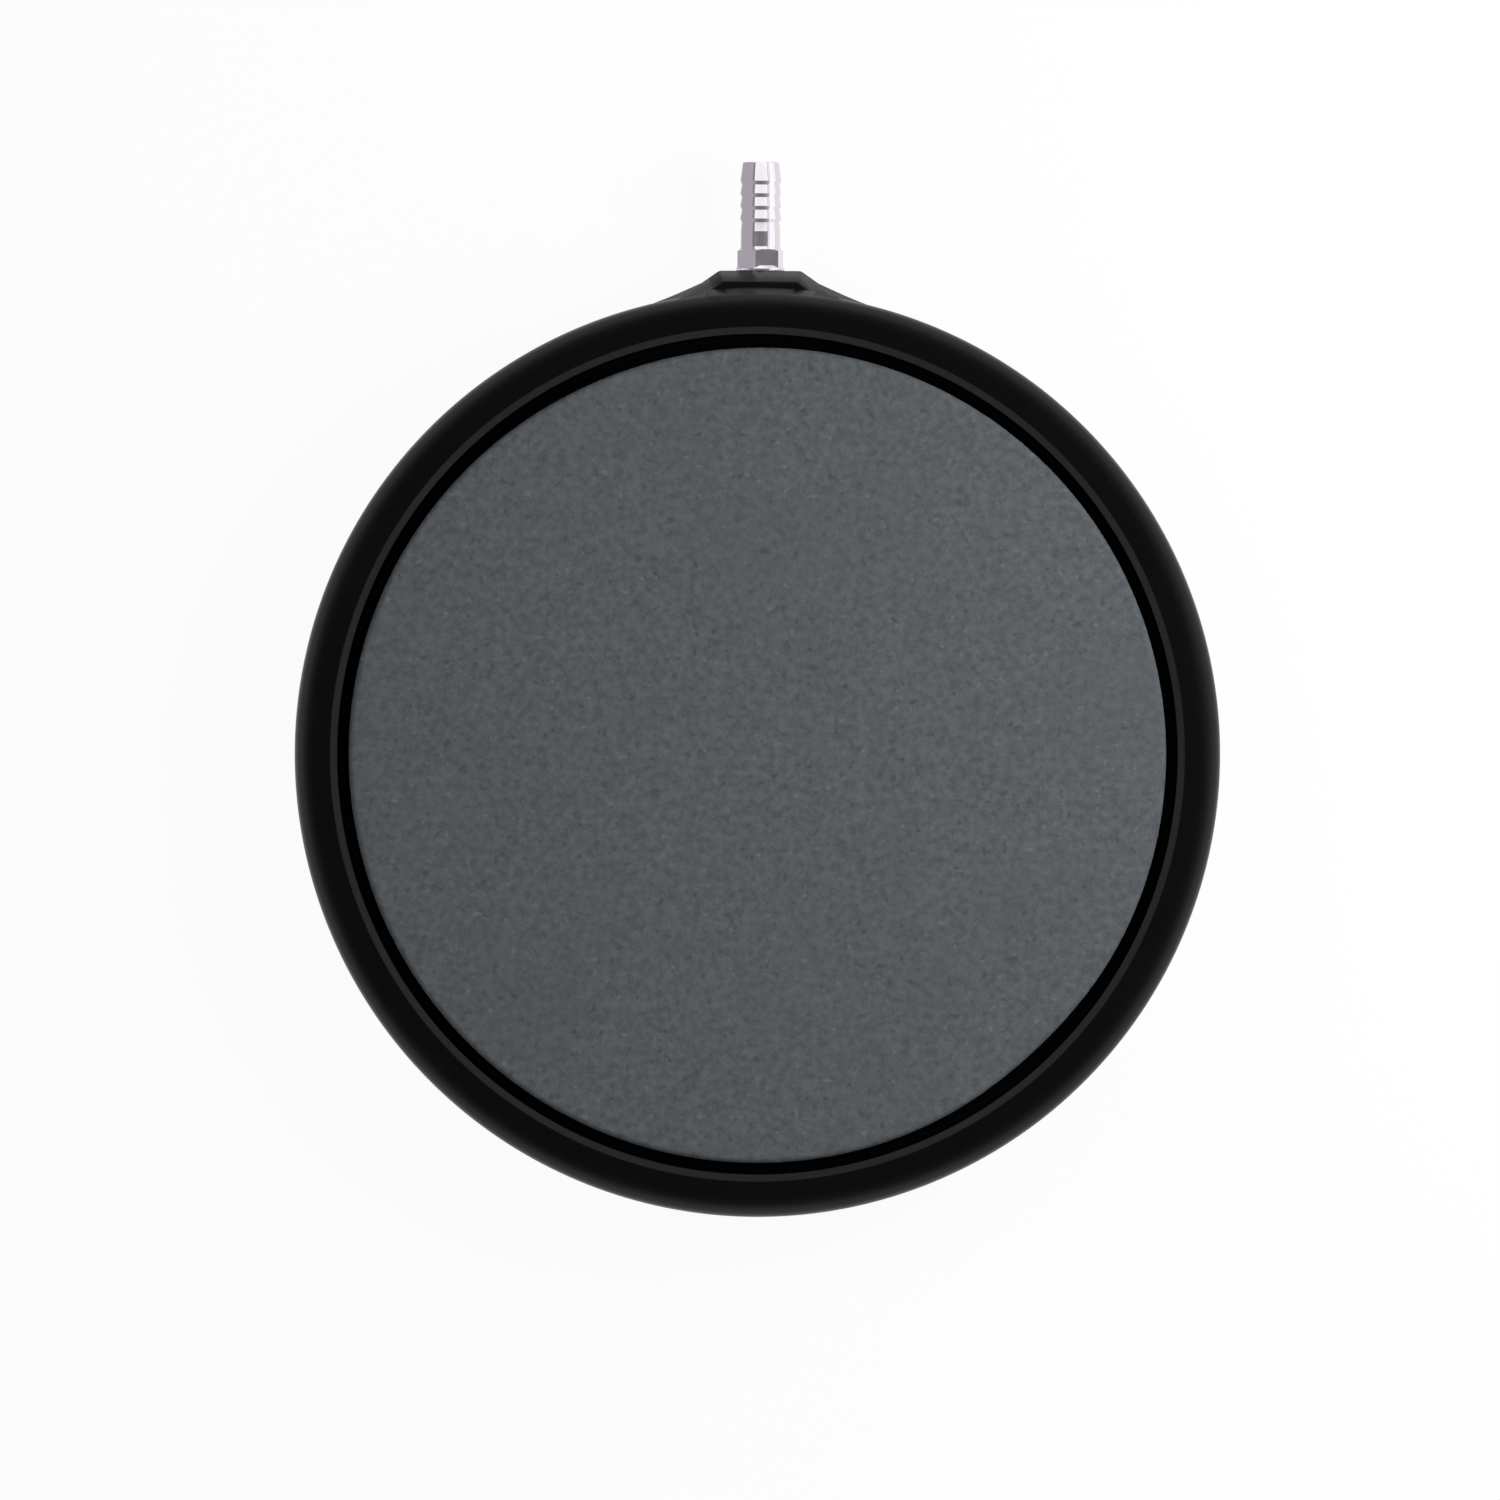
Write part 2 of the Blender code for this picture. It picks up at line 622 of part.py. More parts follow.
def barb_profile():
    """The fitting's outside, from its tip down over the barbs and the flange to the shank's end."""
    hex_top = FLANGE_THICKNESS + HEX_LENGTH
    tip = hex_top + BARB_LENGTH
    points = [(0, tip), (BARB_TIP_RADIUS - BARB_TIP_CHAMFER, tip)]
    points += [(BARB_TIP_RADIUS, tip - BARB_TIP_CHAMFER)]
    ridge = tip - BARB_TIP_LENGTH
    tooth = BARB_ROOT_RADIUS + BARB_TOOTH_HEIGHT
    for _ in range(BARB_TEETH):
        points += [(tooth, ridge), (BARB_ROOT_RADIUS, ridge - BARB_TOOTH_BACK)]
        ridge -= BARB_TOOTH_PITCH
    points += [(BARB_NECK_RADIUS, ridge), (BARB_NECK_RADIUS, hex_top + BARB_FLARE_LENGTH)]
    points += [(BARB_NECK_RADIUS + BARB_FLARE, hex_top), (BARB_ROOT_RADIUS, hex_top - BARB_FLARE_LENGTH)]
    points += [(BARB_ROOT_RADIUS, FLANGE_THICKNESS), (FLANGE_RADIUS, FLANGE_THICKNESS), (FLANGE_RADIUS, 0)]
    points += [(SHANK_RELIEF_RADIUS, 0), (SHANK_RELIEF_RADIUS, -RELIEF_LENGTH)]
    lead = SHANK_RELIEF_DEPTH
    points += [(SHANK_RADIUS, -RELIEF_LENGTH - lead), (SHANK_RADIUS, lead - SHANK_LENGTH)]
    points += [(SHANK_RELIEF_RADIUS, -SHANK_LENGTH), (0, -SHANK_LENGTH)]
    return points


def hexagon():
    """The spanner hexagon, whose corners are turned back at its outer end."""
    corner = HEX_ACROSS_FLATS / 2 / math.cos(math.radians(30))
    shape = bmesh.new()
    bmesh.ops.create_cone(
        shape,
        cap_ends=True,
        segments=6,
        radius1=corner,
        radius2=corner,
        depth=HEX_LENGTH + FLANGE_THICKNESS / 2,
        matrix=Matrix.Translation((0, 0, HEX_LENGTH / 2 + FLANGE_THICKNESS * 3 / 4))
        @ Matrix.Rotation(math.radians(HEX_TURN_DEG), 4, "Z"),
    )
    made = helper("hexagon", shape)
    made.parent = FITTING
    rise = (corner - HEX_ACROSS_FLATS / 2) * math.tan(math.radians(HEX_CORNER_CHAMFER_DEG))
    hex_top = FLANGE_THICKNESS + HEX_LENGTH
    above = OVERRUN * math.tan(math.radians(HEX_CORNER_CHAMFER_DEG))
    points = [(0, hex_top + OVERRUN), (HEX_ACROSS_FLATS / 2, hex_top + OVERRUN)]
    points += [(HEX_ACROSS_FLATS / 2, hex_top), (corner + OVERRUN, hex_top - rise - above)]
    points += [(corner + OVERRUN, -OVERRUN), (0, -OVERRUN)]
    turned = helper("hexagon_turning", profile_shape(points, closed=False))
    turned.parent = FITTING
    turn(turned, BARB_SEGMENTS)
    combine(made, turned, "INTERSECT")
    return made


def hose_barb():
    """The turned fitting: barbs for the hose, a hexagon, a flange and a shank."""
    made = add_object("hose_barb", profile_shape(barb_profile(), closed=False), PARTS)
    made.parent = FITTING
    turn(made, BARB_SEGMENTS)
    combine(made, hexagon(), "UNION")
    shape = bmesh.new()
    bmesh.ops.create_cone(
        shape,
        cap_ends=True,
        segments=BARB_SEGMENTS,
        radius1=BARB_BORE_RADIUS,
        radius2=BARB_BORE_RADIUS,
        depth=3 * BARB_LENGTH,
    )
    bore = helper("barb_bore", shape)
    bore.parent = FITTING
    combine(made, bore, "DIFFERENCE")
    made.data.materials.append(material("nickel plate", (0.72, 0.70, 0.70), 0.18, metallic=1.0))


def o_ring():
    """The rubber ring that the flange squeezes in its pocket."""
    points = arc(O_RING_RADIUS, 0, O_RING_SECTION / 2, 90, -270, O_RING_SECTION_SEGMENTS)[:-1]
    made = add_object("o_ring", profile_shape(points, closed=True), PARTS)
    turn(made, BARB_SEGMENTS)
    made.parent = FITTING
    made.location.z = -SEAT_GAP - O_RING_SECTION / 2
    made.data.materials.append(material("nitrile rubber", (0.012, 0.012, 0.012), 0.6))


def fitting_axis():
    """The centre of the flange's seat, whose Z points out along the hose barb."""
    made = bpy.data.objects.new("fitting_axis", None)
    PARTS.objects.link(made)
    made.location = (0, FLANGE_FACE, FITTING_AXIS)
    made.rotation_euler.x = -math.pi / 2
    return made


clear_scene()
PARTS = new_collection("air_stone")
HELPERS = new_collection("helpers")
FITTING = fitting_axis()
housing()
stone_disc()
adhesive_ring()
hose_barb()
o_ring()
for part in PARTS.objects:
    if part.type == "MESH":
        shade_round(part)
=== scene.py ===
import json
import math

import bmesh
import bpy
from mathutils import Matrix, Vector, noise

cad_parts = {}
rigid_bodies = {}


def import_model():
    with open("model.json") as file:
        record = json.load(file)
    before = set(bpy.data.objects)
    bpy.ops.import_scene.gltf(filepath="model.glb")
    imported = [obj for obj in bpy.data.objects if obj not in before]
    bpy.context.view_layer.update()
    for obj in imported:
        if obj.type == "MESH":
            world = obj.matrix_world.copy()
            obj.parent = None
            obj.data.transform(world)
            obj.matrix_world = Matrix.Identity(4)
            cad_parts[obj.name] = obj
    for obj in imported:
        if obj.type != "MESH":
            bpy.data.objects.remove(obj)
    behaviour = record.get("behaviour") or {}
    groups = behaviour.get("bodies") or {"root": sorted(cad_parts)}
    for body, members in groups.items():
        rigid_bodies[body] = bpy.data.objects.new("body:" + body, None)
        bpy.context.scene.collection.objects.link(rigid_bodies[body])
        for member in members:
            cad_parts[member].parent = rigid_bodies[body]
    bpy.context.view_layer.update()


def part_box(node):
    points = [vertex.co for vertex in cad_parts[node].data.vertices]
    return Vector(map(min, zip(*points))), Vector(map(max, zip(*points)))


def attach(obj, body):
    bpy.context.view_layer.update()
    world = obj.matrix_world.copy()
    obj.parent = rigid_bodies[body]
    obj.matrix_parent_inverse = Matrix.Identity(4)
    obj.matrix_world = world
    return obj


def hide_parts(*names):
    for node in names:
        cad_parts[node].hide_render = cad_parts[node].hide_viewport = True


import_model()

# ---------------------------------------------------------------- housing
# The housing is one injection moulding in black ABS, hollow under its rim. A ledge inside the
# rim carries the stone, ribs stiffen the floor of the air chamber, and a boss on the side takes
# the fitting, with a pocket in its top and a wing either side that leads into the rim.

housing_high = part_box("housing")[1]
stone_low, stone_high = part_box("stone_disc")

RIM_RADIUS = housing_high.x
CROWN_HEIGHT = housing_high.z
STONE_RADIUS = stone_high.x
WALL = 0.0024
DRAFT = 0.0003
GROOVE_WIDTH = 0.0024
GROOVE_DRAFT = 0.00015
LIP_WIDTH = 0.0016
LIP_DEPTH = 0.00135
LIP_ROUND = 0.0004
SHOULDER_ROUND = 0.0045
CHAMBER_ROUND = 0.0015
CHANNEL_ROUND = 0.0008
LEDGE_ROUND = 0.0006
FOOT_ROUND = 0.0004
EDGE_ROUND = 0.0003
STONE_SEAT = 0.0040
BOND_THICKNESS = 0.0014
CLEARANCE = 0.0003
UNDERSIDE = 0.0056
FLOOR_TOP = UNDERSIDE + WALL
LEDGE_TOP = stone_low.z - BOND_THICKNESS
LEDGE_UNDERSIDE = LEDGE_TOP - WALL
CHAMBER_RADIUS = STONE_RADIUS - STONE_SEAT
GROOVE_TOP = STONE_RADIUS + GROOVE_WIDTH
GROOVE_FOOT = GROOVE_TOP - GROOVE_DRAFT
RIM_SEGMENTS = 288


def rounded(corners, steps=6):
    """A profile through corners of (radius, height, rounding), each rounded by an arc."""
    points = []
    last = len(corners) - 1
    for i, (r, z, rounding) in enumerate(corners):
        if rounding == 0 or i in (0, last):
            points.append((r, z))
            continue
        here = Vector((r, z))
        back = (Vector(corners[i - 1][:2]) - here).normalized()
        ahead = (Vector(corners[i + 1][:2]) - here).normalized()
        half = back.angle(ahead) / 2
        centre = here + (back + ahead).normalized() * (rounding / math.sin(half))
        first = here + back * (rounding / math.tan(half)) - centre
        final = here + ahead * (rounding / math.tan(half)) - centre
        for step in range(steps + 1):
            points.append(tuple(centre + first.slerp(final, step / steps) * rounding))
    return points


def spun(points, segments, closed=False):
    """A profile of (radius, height) points turned once round Z."""
    shape = bmesh.new()
    verts = [shape.verts.new((r, 0, z)) for r, z in points]
    ring = verts + verts[:1] if closed else verts
    edges = [shape.edges.new(pair) for pair in zip(ring, ring[1:])]
    bmesh.ops.spin(
        shape,
        geom=verts + edges,
        cent=(0, 0, 0),
        axis=(0, 0, 1),
        dvec=(0, 0, 0),
        angle=2 * math.pi,
        steps=segments,
        use_merge=True,
    )
    bmesh.ops.remove_doubles(shape, verts=shape.verts, dist=1e-6)
    bmesh.ops.recalc_face_normals(shape, faces=shape.faces)
    return shape


def as_object(name, shape):
    """A new object in the scene with this shape as its mesh."""
    mesh = bpy.data.meshes.new(name)
    shape.to_mesh(mesh)
    shape.free()
    made = bpy.data.objects.new(name, mesh)
    bpy.context.scene.collection.objects.link(made)
    return made


# The turned section of the moulding: the radius, height and rounding of each corner.
channel_wall = GROOVE_TOP + WALL
chamber_wall = CHAMBER_RADIUS + WALL
section = [
    (0, FLOOR_TOP, 0),
    (CHAMBER_RADIUS, FLOOR_TOP, CHAMBER_ROUND),
    (CHAMBER_RADIUS, LEDGE_TOP, EDGE_ROUND),
    (GROOVE_FOOT, LEDGE_TOP, EDGE_ROUND),
    (GROOVE_TOP, CROWN_HEIGHT - LIP_DEPTH, LIP_ROUND),
    (GROOVE_TOP + LIP_WIDTH, CROWN_HEIGHT, LIP_ROUND),
    (RIM_RADIUS - DRAFT, CROWN_HEIGHT, SHOULDER_ROUND),
    (RIM_RADIUS, 0, FOOT_ROUND),
    (RIM_RADIUS - WALL, 0, EDGE_ROUND),
    (RIM_RADIUS - WALL - DRAFT, CROWN_HEIGHT - WALL, SHOULDER_ROUND - WALL),
    (channel_wall, CROWN_HEIGHT - WALL, CHANNEL_ROUND),
    (channel_wall, LEDGE_UNDERSIDE, LEDGE_ROUND),
    (chamber_wall, LEDGE_UNDERSIDE, CHANNEL_ROUND),
    (chamber_wall, UNDERSIDE, CHANNEL_ROUND),
    (0, UNDERSIDE, 0),
]
housing = as_object("housing_moulding", spun(rounded(section, steps=8), RIM_SEGMENTS))


def plain(target):
    """Replaces the target's mesh by what its modifiers make of it."""
    bpy.context.view_layer.update()
    graph = bpy.context.evaluated_depsgraph_get()
    made = bpy.data.meshes.new_from_object(target.evaluated_get(graph))
    target.modifiers.clear()
    target.data = made


def worked(target, shapes, operation):
    """Joins the shapes to the target, or cuts them out of it, and leaves a plain mesh."""
    group = bpy.data.collections.new("tools")
    for i, shape in enumerate(shapes):
        tool = as_object(f"tool_{i}", shape)
        bpy.context.scene.collection.objects.unlink(tool)
        group.objects.link(tool)
    bpy.context.scene.collection.children.link(group)
    step = target.modifiers.new("worked", "BOOLEAN")
    step.operand_type = "COLLECTION"
    step.collection = group
    step.operation = operation
    step.solver = "EXACT"
    plain(target)
    for tool in list(group.objects):
        bpy.data.objects.remove(tool)
    bpy.data.collections.remove(group)


def moulded_rib(inner, outer, low, high, root, tip, tip_low):
    """An upright rib along +X that thins towards its free edge, the low or the high one."""
    shape = bmesh.new()
    bmesh.ops.create_cube(shape, size=1.0)
    for vert in shape.verts:
        at_tip = (vert.co.z < 0) == tip_low
        vert.co.x = inner if vert.co.x < 0 else outer
        vert.co.y = math.copysign((tip if at_tip else root) / 2, vert.co.y)
        vert.co.z = low if vert.co.z < 0 else high
    edge = low if tip_low else high
    free = [e for e in shape.edges if all(abs(v.co.z - edge) < 1e-6 for v in e.verts)]
    bmesh.ops.bevel(
        shape,
        geom=free,
        offset=RIB_EDGE_ROUND,
        segments=3,
        profile=0.5,
        affect="EDGES",
        clamp_overlap=True,
        material=-1,
    )
    return shape


# Ribs: eight under the floor, eight gussets across the rim's channel and eight in the chamber,
# with a ring rib, and a hub that reaches down to the base.
RIB_COUNT = 8
RIB_ROOT = 0.0022
RIB_TIP = 0.0016
RIB_EDGE_ROUND = 0.3 * RIB_TIP
RIB_FOOT = 0.0010
GUSSET_FOOT = 0.0015
GUSSET_TOP = 0.0110
CHAMBER_RIB_START = 0.0260
CHAMBER_RIB_MARGIN = 0.0180
RING_RIB_RADIUS = 0.0480
HUB_RADIUS = 0.0060
in_floor_above = UNDERSIDE + WALL / 3
in_floor_below = FLOOR_TOP - WALL / 3
in_chamber_wall = CHAMBER_RADIUS + WALL / 2
below_stone = stone_low.z - CLEARANCE

# Each kind of rib: where it starts and ends, its lowest and highest points, and whether its
# free edge is the low one.
rib_shapes = (
    (0, in_chamber_wall, RIB_FOOT, in_floor_above, True),
    (in_chamber_wall - WALL / 4, RIM_RADIUS - WALL / 2, GUSSET_FOOT, GUSSET_TOP, True),
    (CHAMBER_RIB_START, CHAMBER_RADIUS - CHAMBER_RIB_MARGIN, in_floor_below, below_stone, False),
)
ribs = []
for i in range(RIB_COUNT):
    turned = Matrix.Rotation(2 * math.pi * i / RIB_COUNT, 4, "Z")
    for inner, outer, low, high, tip_low in rib_shapes:
        rib = moulded_rib(inner, outer, low, high, RIB_ROOT, RIB_TIP, tip_low)
        rib.transform(turned)
        ribs.append(rib)
mid_floor = (UNDERSIDE + FLOOR_TOP) / 2
ring_root = [(RING_RIB_RADIUS + side * RIB_ROOT / 2, mid_floor) for side in (-1, 1)]
ring_edge = [(RING_RIB_RADIUS + side * RIB_TIP / 2, RIB_FOOT) for side in (1, -1)]
ribs.append(spun(ring_root + ring_edge, RIM_SEGMENTS // 2, closed=True))
hub = bmesh.new()
bmesh.ops.create_cone(
    hub,
    cap_ends=True,
    segments=64,
    radius1=HUB_RADIUS,
    radius2=HUB_RADIUS,
    depth=in_floor_below,
    matrix=Matrix.Translation((0, 0, in_floor_below / 2)),
)
ribs.append(hub)
worked(housing, ribs, "UNION")

# The boss: a flat front and slanted sides, with its top edge cut to a steep slope.
BOSS_FACE = housing_high.y
AXIS_HEIGHT = (FLOOR_TOP + LEDGE_TOP) / 2
BOSS_RISE = 0.0102
BOSS_DROP = 0.0083
BOSS_TOP = AXIS_HEIGHT + BOSS_RISE
BOSS_BOTTOM = AXIS_HEIGHT - BOSS_DROP
BOSS_HALF_FACE = 0.0088
BOSS_SLANT = math.radians(35)
BOSS_WALL = 0.0021
TOP_SLOPE = math.tan(math.radians(63))
TOP_SLOPE_WIDTH = 0.0025
BOSS_EDGE_ROUND = 0.0004


def on_circle(radius, x):
    """Y at this X on the circle of this radius round the disc's axis."""
    return math.sqrt(radius**2 - x**2)


def both_sides(side):
    """A right-hand outline from front to back, with its left-hand mirror."""
    return side + [(-x, y) for x, y in reversed(side)]


def lofted(sections):
    """A closed shape through sections of as many points each, which come one after another."""
    shape = bmesh.new()
    loops = []
    for section in sections:
        verts = [shape.verts.new(point) for point in section]
        loops.append([shape.edges.new(pair) for pair in zip(verts, verts[1:] + verts[:1])])
    for before, after in zip(loops, loops[1:]):
        bmesh.ops.bridge_loops(shape, edges=before + after)
    bmesh.ops.holes_fill(shape, edges=loops[0] + loops[-1], sides=0)
    bmesh.ops.recalc_face_normals(shape, faces=shape.faces)
    return shape


def softened(target, width, steps, least_angle):
    """Rounds the edges that are sharper than an angle in degrees."""
    step = target.modifiers.new("rounded edges", "BEVEL")
    step.width = width
    step.segments = steps
    step.limit_method = "ANGLE"
    step.angle_limit = math.radians(least_angle)
    step.use_clamp_overlap = True
    plain(target)


def half_face(inset):
    """Half the width of the boss's front, or of a face set in by this much from it."""
    return BOSS_HALF_FACE - inset * math.tan(BOSS_SLANT / 2)


def slant_y(x, inset=0.0):
    """Y on the slanted side of the boss, or on a line set in by this much from it."""
    return BOSS_FACE - inset - (x - half_face(inset)) * math.tan(BOSS_SLANT)


def slant_meets(radius, inset=0.0):
    """The X at which the slanted side, set in by this much, reaches the circle of this radius."""
    slope = math.tan(BOSS_SLANT)
    at_centre = slant_y(0, inset)
    square = 1 + slope**2
    inside = (slope * at_centre) ** 2 - square * (at_centre**2 - radius**2)
    return (slope * at_centre - math.sqrt(inside)) / square


def boss_plan(inset, back, steps=8):
    """The boss's outline, set in by this much, in front of the circle of the back's radius."""
    end = slant_meets(back, inset)
    side = [(half_face(inset), BOSS_FACE - inset)]
    side += [(end * i / steps, on_circle(back, end * i / steps)) for i in range(steps, 0, -1)]
    return both_sides(side)


sections = []
for height, inset in (
    (BOSS_BOTTOM, 0),
    (BOSS_TOP - TOP_SLOPE_WIDTH * TOP_SLOPE, 0),
    (BOSS_TOP, TOP_SLOPE_WIDTH),
):
    sections.append([(x, y, height) for x, y in boss_plan(inset, RIM_RADIUS - WALL / 2)])
boss = as_object("boss", lofted(sections))
softened(boss, BOSS_EDGE_ROUND, steps=3, least_angle=30)

# The wings: fairings whose outline curves from the rim out to the boss.
WING_SETBACK = 0.0036
WING_WIDTH = 0.0099
WING_FOOT = 0.0016
WING_SIDE_HEIGHT = 0.0100
WING_KNEE = WING_WIDTH / 3
WING_KNEE_SLOPE = math.tan(math.radians(20))
WING_STEPS = 16
WING_START = BOSS_HALF_FACE + WING_SETBACK
wing_end = WING_START + WING_WIDTH
wing_end_y = on_circle(RIM_RADIUS, wing_end)
knee = Vector((wing_end - WING_KNEE, wing_end_y + WING_KNEE * WING_KNEE_SLOPE))
in_boss = WING_START - BOSS_WALL / 2
in_rim = wing_end + WALL
wing_edge = [Vector((in_boss, slant_y(in_boss, BOSS_WALL / 2)))]
for i in range(WING_STEPS + 1):
    share = i / WING_STEPS
    first = Vector((WING_START, slant_y(WING_START))).lerp(knee, share)
    second = knee.lerp(Vector((wing_end, wing_end_y)), share)
    wing_edge.append(first.lerp(second, share))
wing_edge.append(Vector((in_rim, on_circle(RIM_RADIUS - WALL / 6, in_rim))))


def stood_up(x, y, profile):
    """A profile of (radius, height) points stood up on the line from the disc's axis to (x, y)."""
    out = Vector((x, y)).normalized()
    return [(out.x * radius, out.y * radius, height) for radius, height in profile]


def wing(side):
    """One wing, on the given side of X, with a steep slope along its top."""
    back = RIM_RADIUS - WALL * 3 / 4
    within = RIM_RADIUS - WALL / 4
    low = BOSS_BOTTOM + WING_FOOT
    foot = low + WING_SIDE_HEIGHT
    sections = []
    for x, y in wing_edge:
        outer = math.hypot(x, y)
        top = foot + (outer - within) * TOP_SLOPE
        profile = [(back, low), (outer, low), (outer, foot), (within, top), (back, top)]
        sections.append(stood_up(side * x, y, profile))
    return lofted(sections)


# The saddle: a slope that leads off the rim's shoulder behind the pocket, and along the wings.
SADDLE_SLOPE = math.radians(60)
SADDLE_REACH = 0.0015
SADDLE_SINK = 0.00003
SADDLE_FADES_FROM = 0.55
SADDLE_END_LOSS = 0.96
SADDLE_STEPS = 48


def saddle():
    """The saddle, which reaches out least at its ends."""
    shoulder = Vector((RIM_RADIUS - DRAFT - SHOULDER_ROUND, CROWN_HEIGHT - SHOULDER_ROUND))
    back = RIM_RADIUS - WALL * 7 / 8
    foot = BOSS_BOTTOM + WING_SIDE_HEIGHT
    end = wing_end - WALL / 2
    outward = Vector((math.sin(SADDLE_SLOPE), math.cos(SADDLE_SLOPE)))
    top = shoulder + outward * (SHOULDER_ROUND - SADDLE_SINK)
    sections = []
    for i in range(SADDLE_STEPS + 1):
        share = 2 * i / SADDLE_STEPS - 1
        fade = max(0, (abs(share) - SADDLE_FADES_FROM) / (1 - SADDLE_FADES_FROM))
        fade = fade * fade * (3 - 2 * fade)
        reach = SADDLE_REACH * (1 - SADDLE_END_LOSS * fade)
        crest = top.x + reach
        crest_height = top.y - reach * math.tan(SADDLE_SLOPE)
        profile = [(back, foot), (crest, foot), (crest, crest_height), tuple(top), (back, top.y)]
        x = end * share
        sections.append(stood_up(x, on_circle(RIM_RADIUS, x), profile))
    return lofted(sections)


worked(boss, [wing(1), wing(-1), saddle()], "UNION")


def prism(outline, low, high):
    """An outline in X and Y raised from low to high."""
    shape = bmesh.new()
    base = shape.faces.new([shape.verts.new((x, y, low)) for x, y in outline])
    raised = bmesh.ops.extrude_face_region(shape, geom=[base])["geom"]
    top = [item for item in raised if isinstance(item, bmesh.types.BMVert)]
    bmesh.ops.translate(shape, verts=top, vec=(0, 0, high - low))
    bmesh.ops.recalc_face_normals(shape, faces=shape.faces)
    return shape


# The pocket in the boss's top, and the hollow under it, which is open to the rim's channel.
BARREL_RADIUS = 0.0065
POCKET_INSET = 0.00255
CREST = RIM_RADIUS + 0.0003
POCKET_DEPTH = 0.00025
POCKET_SLOPE = math.tan(math.radians(28))
POCKET_EDGE_ROUND = 0.00015
BARREL_OVERLAP = 0.0011
CUT_MARGIN = 0.001
pocket_front = BOSS_FACE - POCKET_INSET
crest_half = half_face(POCKET_INSET) + (pocket_front - CREST) / math.tan(BOSS_SLANT)
pocket_plan = both_sides([(half_face(POCKET_INSET), pocket_front), (crest_half, CREST)])
pocket_low = BOSS_TOP - POCKET_DEPTH
floor_edge = [(x, y, pocket_low + (pocket_front - y) * POCKET_SLOPE) for x, y in pocket_plan]
pocket = lofted([floor_edge, [(x, y, CROWN_HEIGHT) for x, y in pocket_plan]])
deep = RIM_RADIUS - 2 * WALL
deep_half = half_face(BOSS_WALL) + (BOSS_FACE - BOSS_WALL - deep) / math.tan(BOSS_SLANT)
hollow_plan = both_sides([(half_face(BOSS_WALL), BOSS_FACE - BOSS_WALL), (deep_half, deep)])
hollow_top = AXIS_HEIGHT + BARREL_RADIUS - BARREL_OVERLAP
hollow = prism(hollow_plan, BOSS_BOTTOM - CUT_MARGIN, hollow_top)
worked(boss, [pocket, hollow], "DIFFERENCE")
softened(boss, POCKET_EDGE_ROUND, steps=2, least_angle=40)
boss_shape = bmesh.new()
boss_shape.from_mesh(boss.data)
bpy.data.objects.remove(boss)


def rod(radius, start, end, height, segments):
    """A round bar along Y from start to end, with its axis at this height."""
    shape = bmesh.new()
    middle = Matrix.Translation((0, (start + end) / 2, height))
    bmesh.ops.create_cone(
        shape,
        cap_ends=True,
        segments=segments,
        radius1=radius,
        radius2=radius,
        depth=abs(end - start),
        matrix=middle @ Matrix.Rotation(math.pi / 2, 4, "X"),
    )
    return shape


# The barrel for the shank, the shroud of the duct under the ledge, and the bores through them.
SHANK_BORE = 0.0043
SHANK_BORE_END = 0.0944
BARREL_END_WALL = 0.0022
SHROUD_RADIUS = 0.0043
DUCT_RADIUS = 0.0023
SEAL_POCKET_RADIUS = 0.0048
SEAL_POCKET_DEPTH = 0.0014
BORE_SEGMENTS = 64
barrel_start = SHANK_BORE_END - BARREL_END_WALL
barrel_end = BOSS_FACE - BOSS_WALL / 2
barrel = rod(BARREL_RADIUS, barrel_start, barrel_end, AXIS_HEIGHT, BORE_SEGMENTS)
shroud_top = LEDGE_TOP - WALL / 3
shroud_plan = [(SHROUD_RADIUS, shroud_top)]
for turn in range(0, 181, 10):
    across = SHROUD_RADIUS * math.cos(math.radians(turn))
    down = SHROUD_RADIUS * math.sin(math.radians(turn))
    shroud_plan.append((across, AXIS_HEIGHT - down))
shroud_plan.append((-SHROUD_RADIUS, shroud_top))
shroud = prism(shroud_plan, 0, SHANK_BORE_END - CHAMBER_RADIUS - WALL / 2)
laid_down = Matrix.Rotation(math.pi / 2, 4, "X")
shroud.transform(Matrix.Translation((0, SHANK_BORE_END, 0)) @ laid_down)
worked(housing, [boss_shape, barrel, shroud], "UNION")

seal_seat = BOSS_FACE - SEAL_POCKET_DEPTH
past_face = BOSS_FACE + CUT_MARGIN
duct_start = CHAMBER_RADIUS - 2 * CUT_MARGIN
duct_end = SHANK_BORE_END + CUT_MARGIN
seal_pocket = rod(SEAL_POCKET_RADIUS, seal_seat, past_face, AXIS_HEIGHT, BORE_SEGMENTS)
shank_bore = rod(SHANK_BORE, SHANK_BORE_END, past_face, AXIS_HEIGHT, BORE_SEGMENTS)
duct = rod(DUCT_RADIUS, duct_start, duct_end, AXIS_HEIGHT, BORE_SEGMENTS // 2)
worked(housing, [seal_pocket, shank_bore, duct], "DIFFERENCE")


def smooth(target, sharp_angle=30):
    """Shades the target smooth, but for the edges sharper than an angle in degrees."""
    target.data.shade_smooth()
    target.data.set_sharp_from_angle(angle=math.radians(sharp_angle))


smooth(housing)


def finish(name, colour, roughness, metallic=0.0):
    """A surface finish, with its node tree, its shader and the object's own coordinates."""
    made = bpy.data.materials.new(name)
    made.use_nodes = True
    tree = made.node_tree
    shader = tree.nodes["Principled BSDF"]
    shader.inputs["Base Color"].default_value = (*colour, 1)
    shader.inputs["Roughness"].default_value = roughness
    shader.inputs["Metallic"].default_value = metallic
    coordinates = tree.nodes.new("ShaderNodeTexCoord")
    return made, tree, shader, coordinates.outputs["Object"]


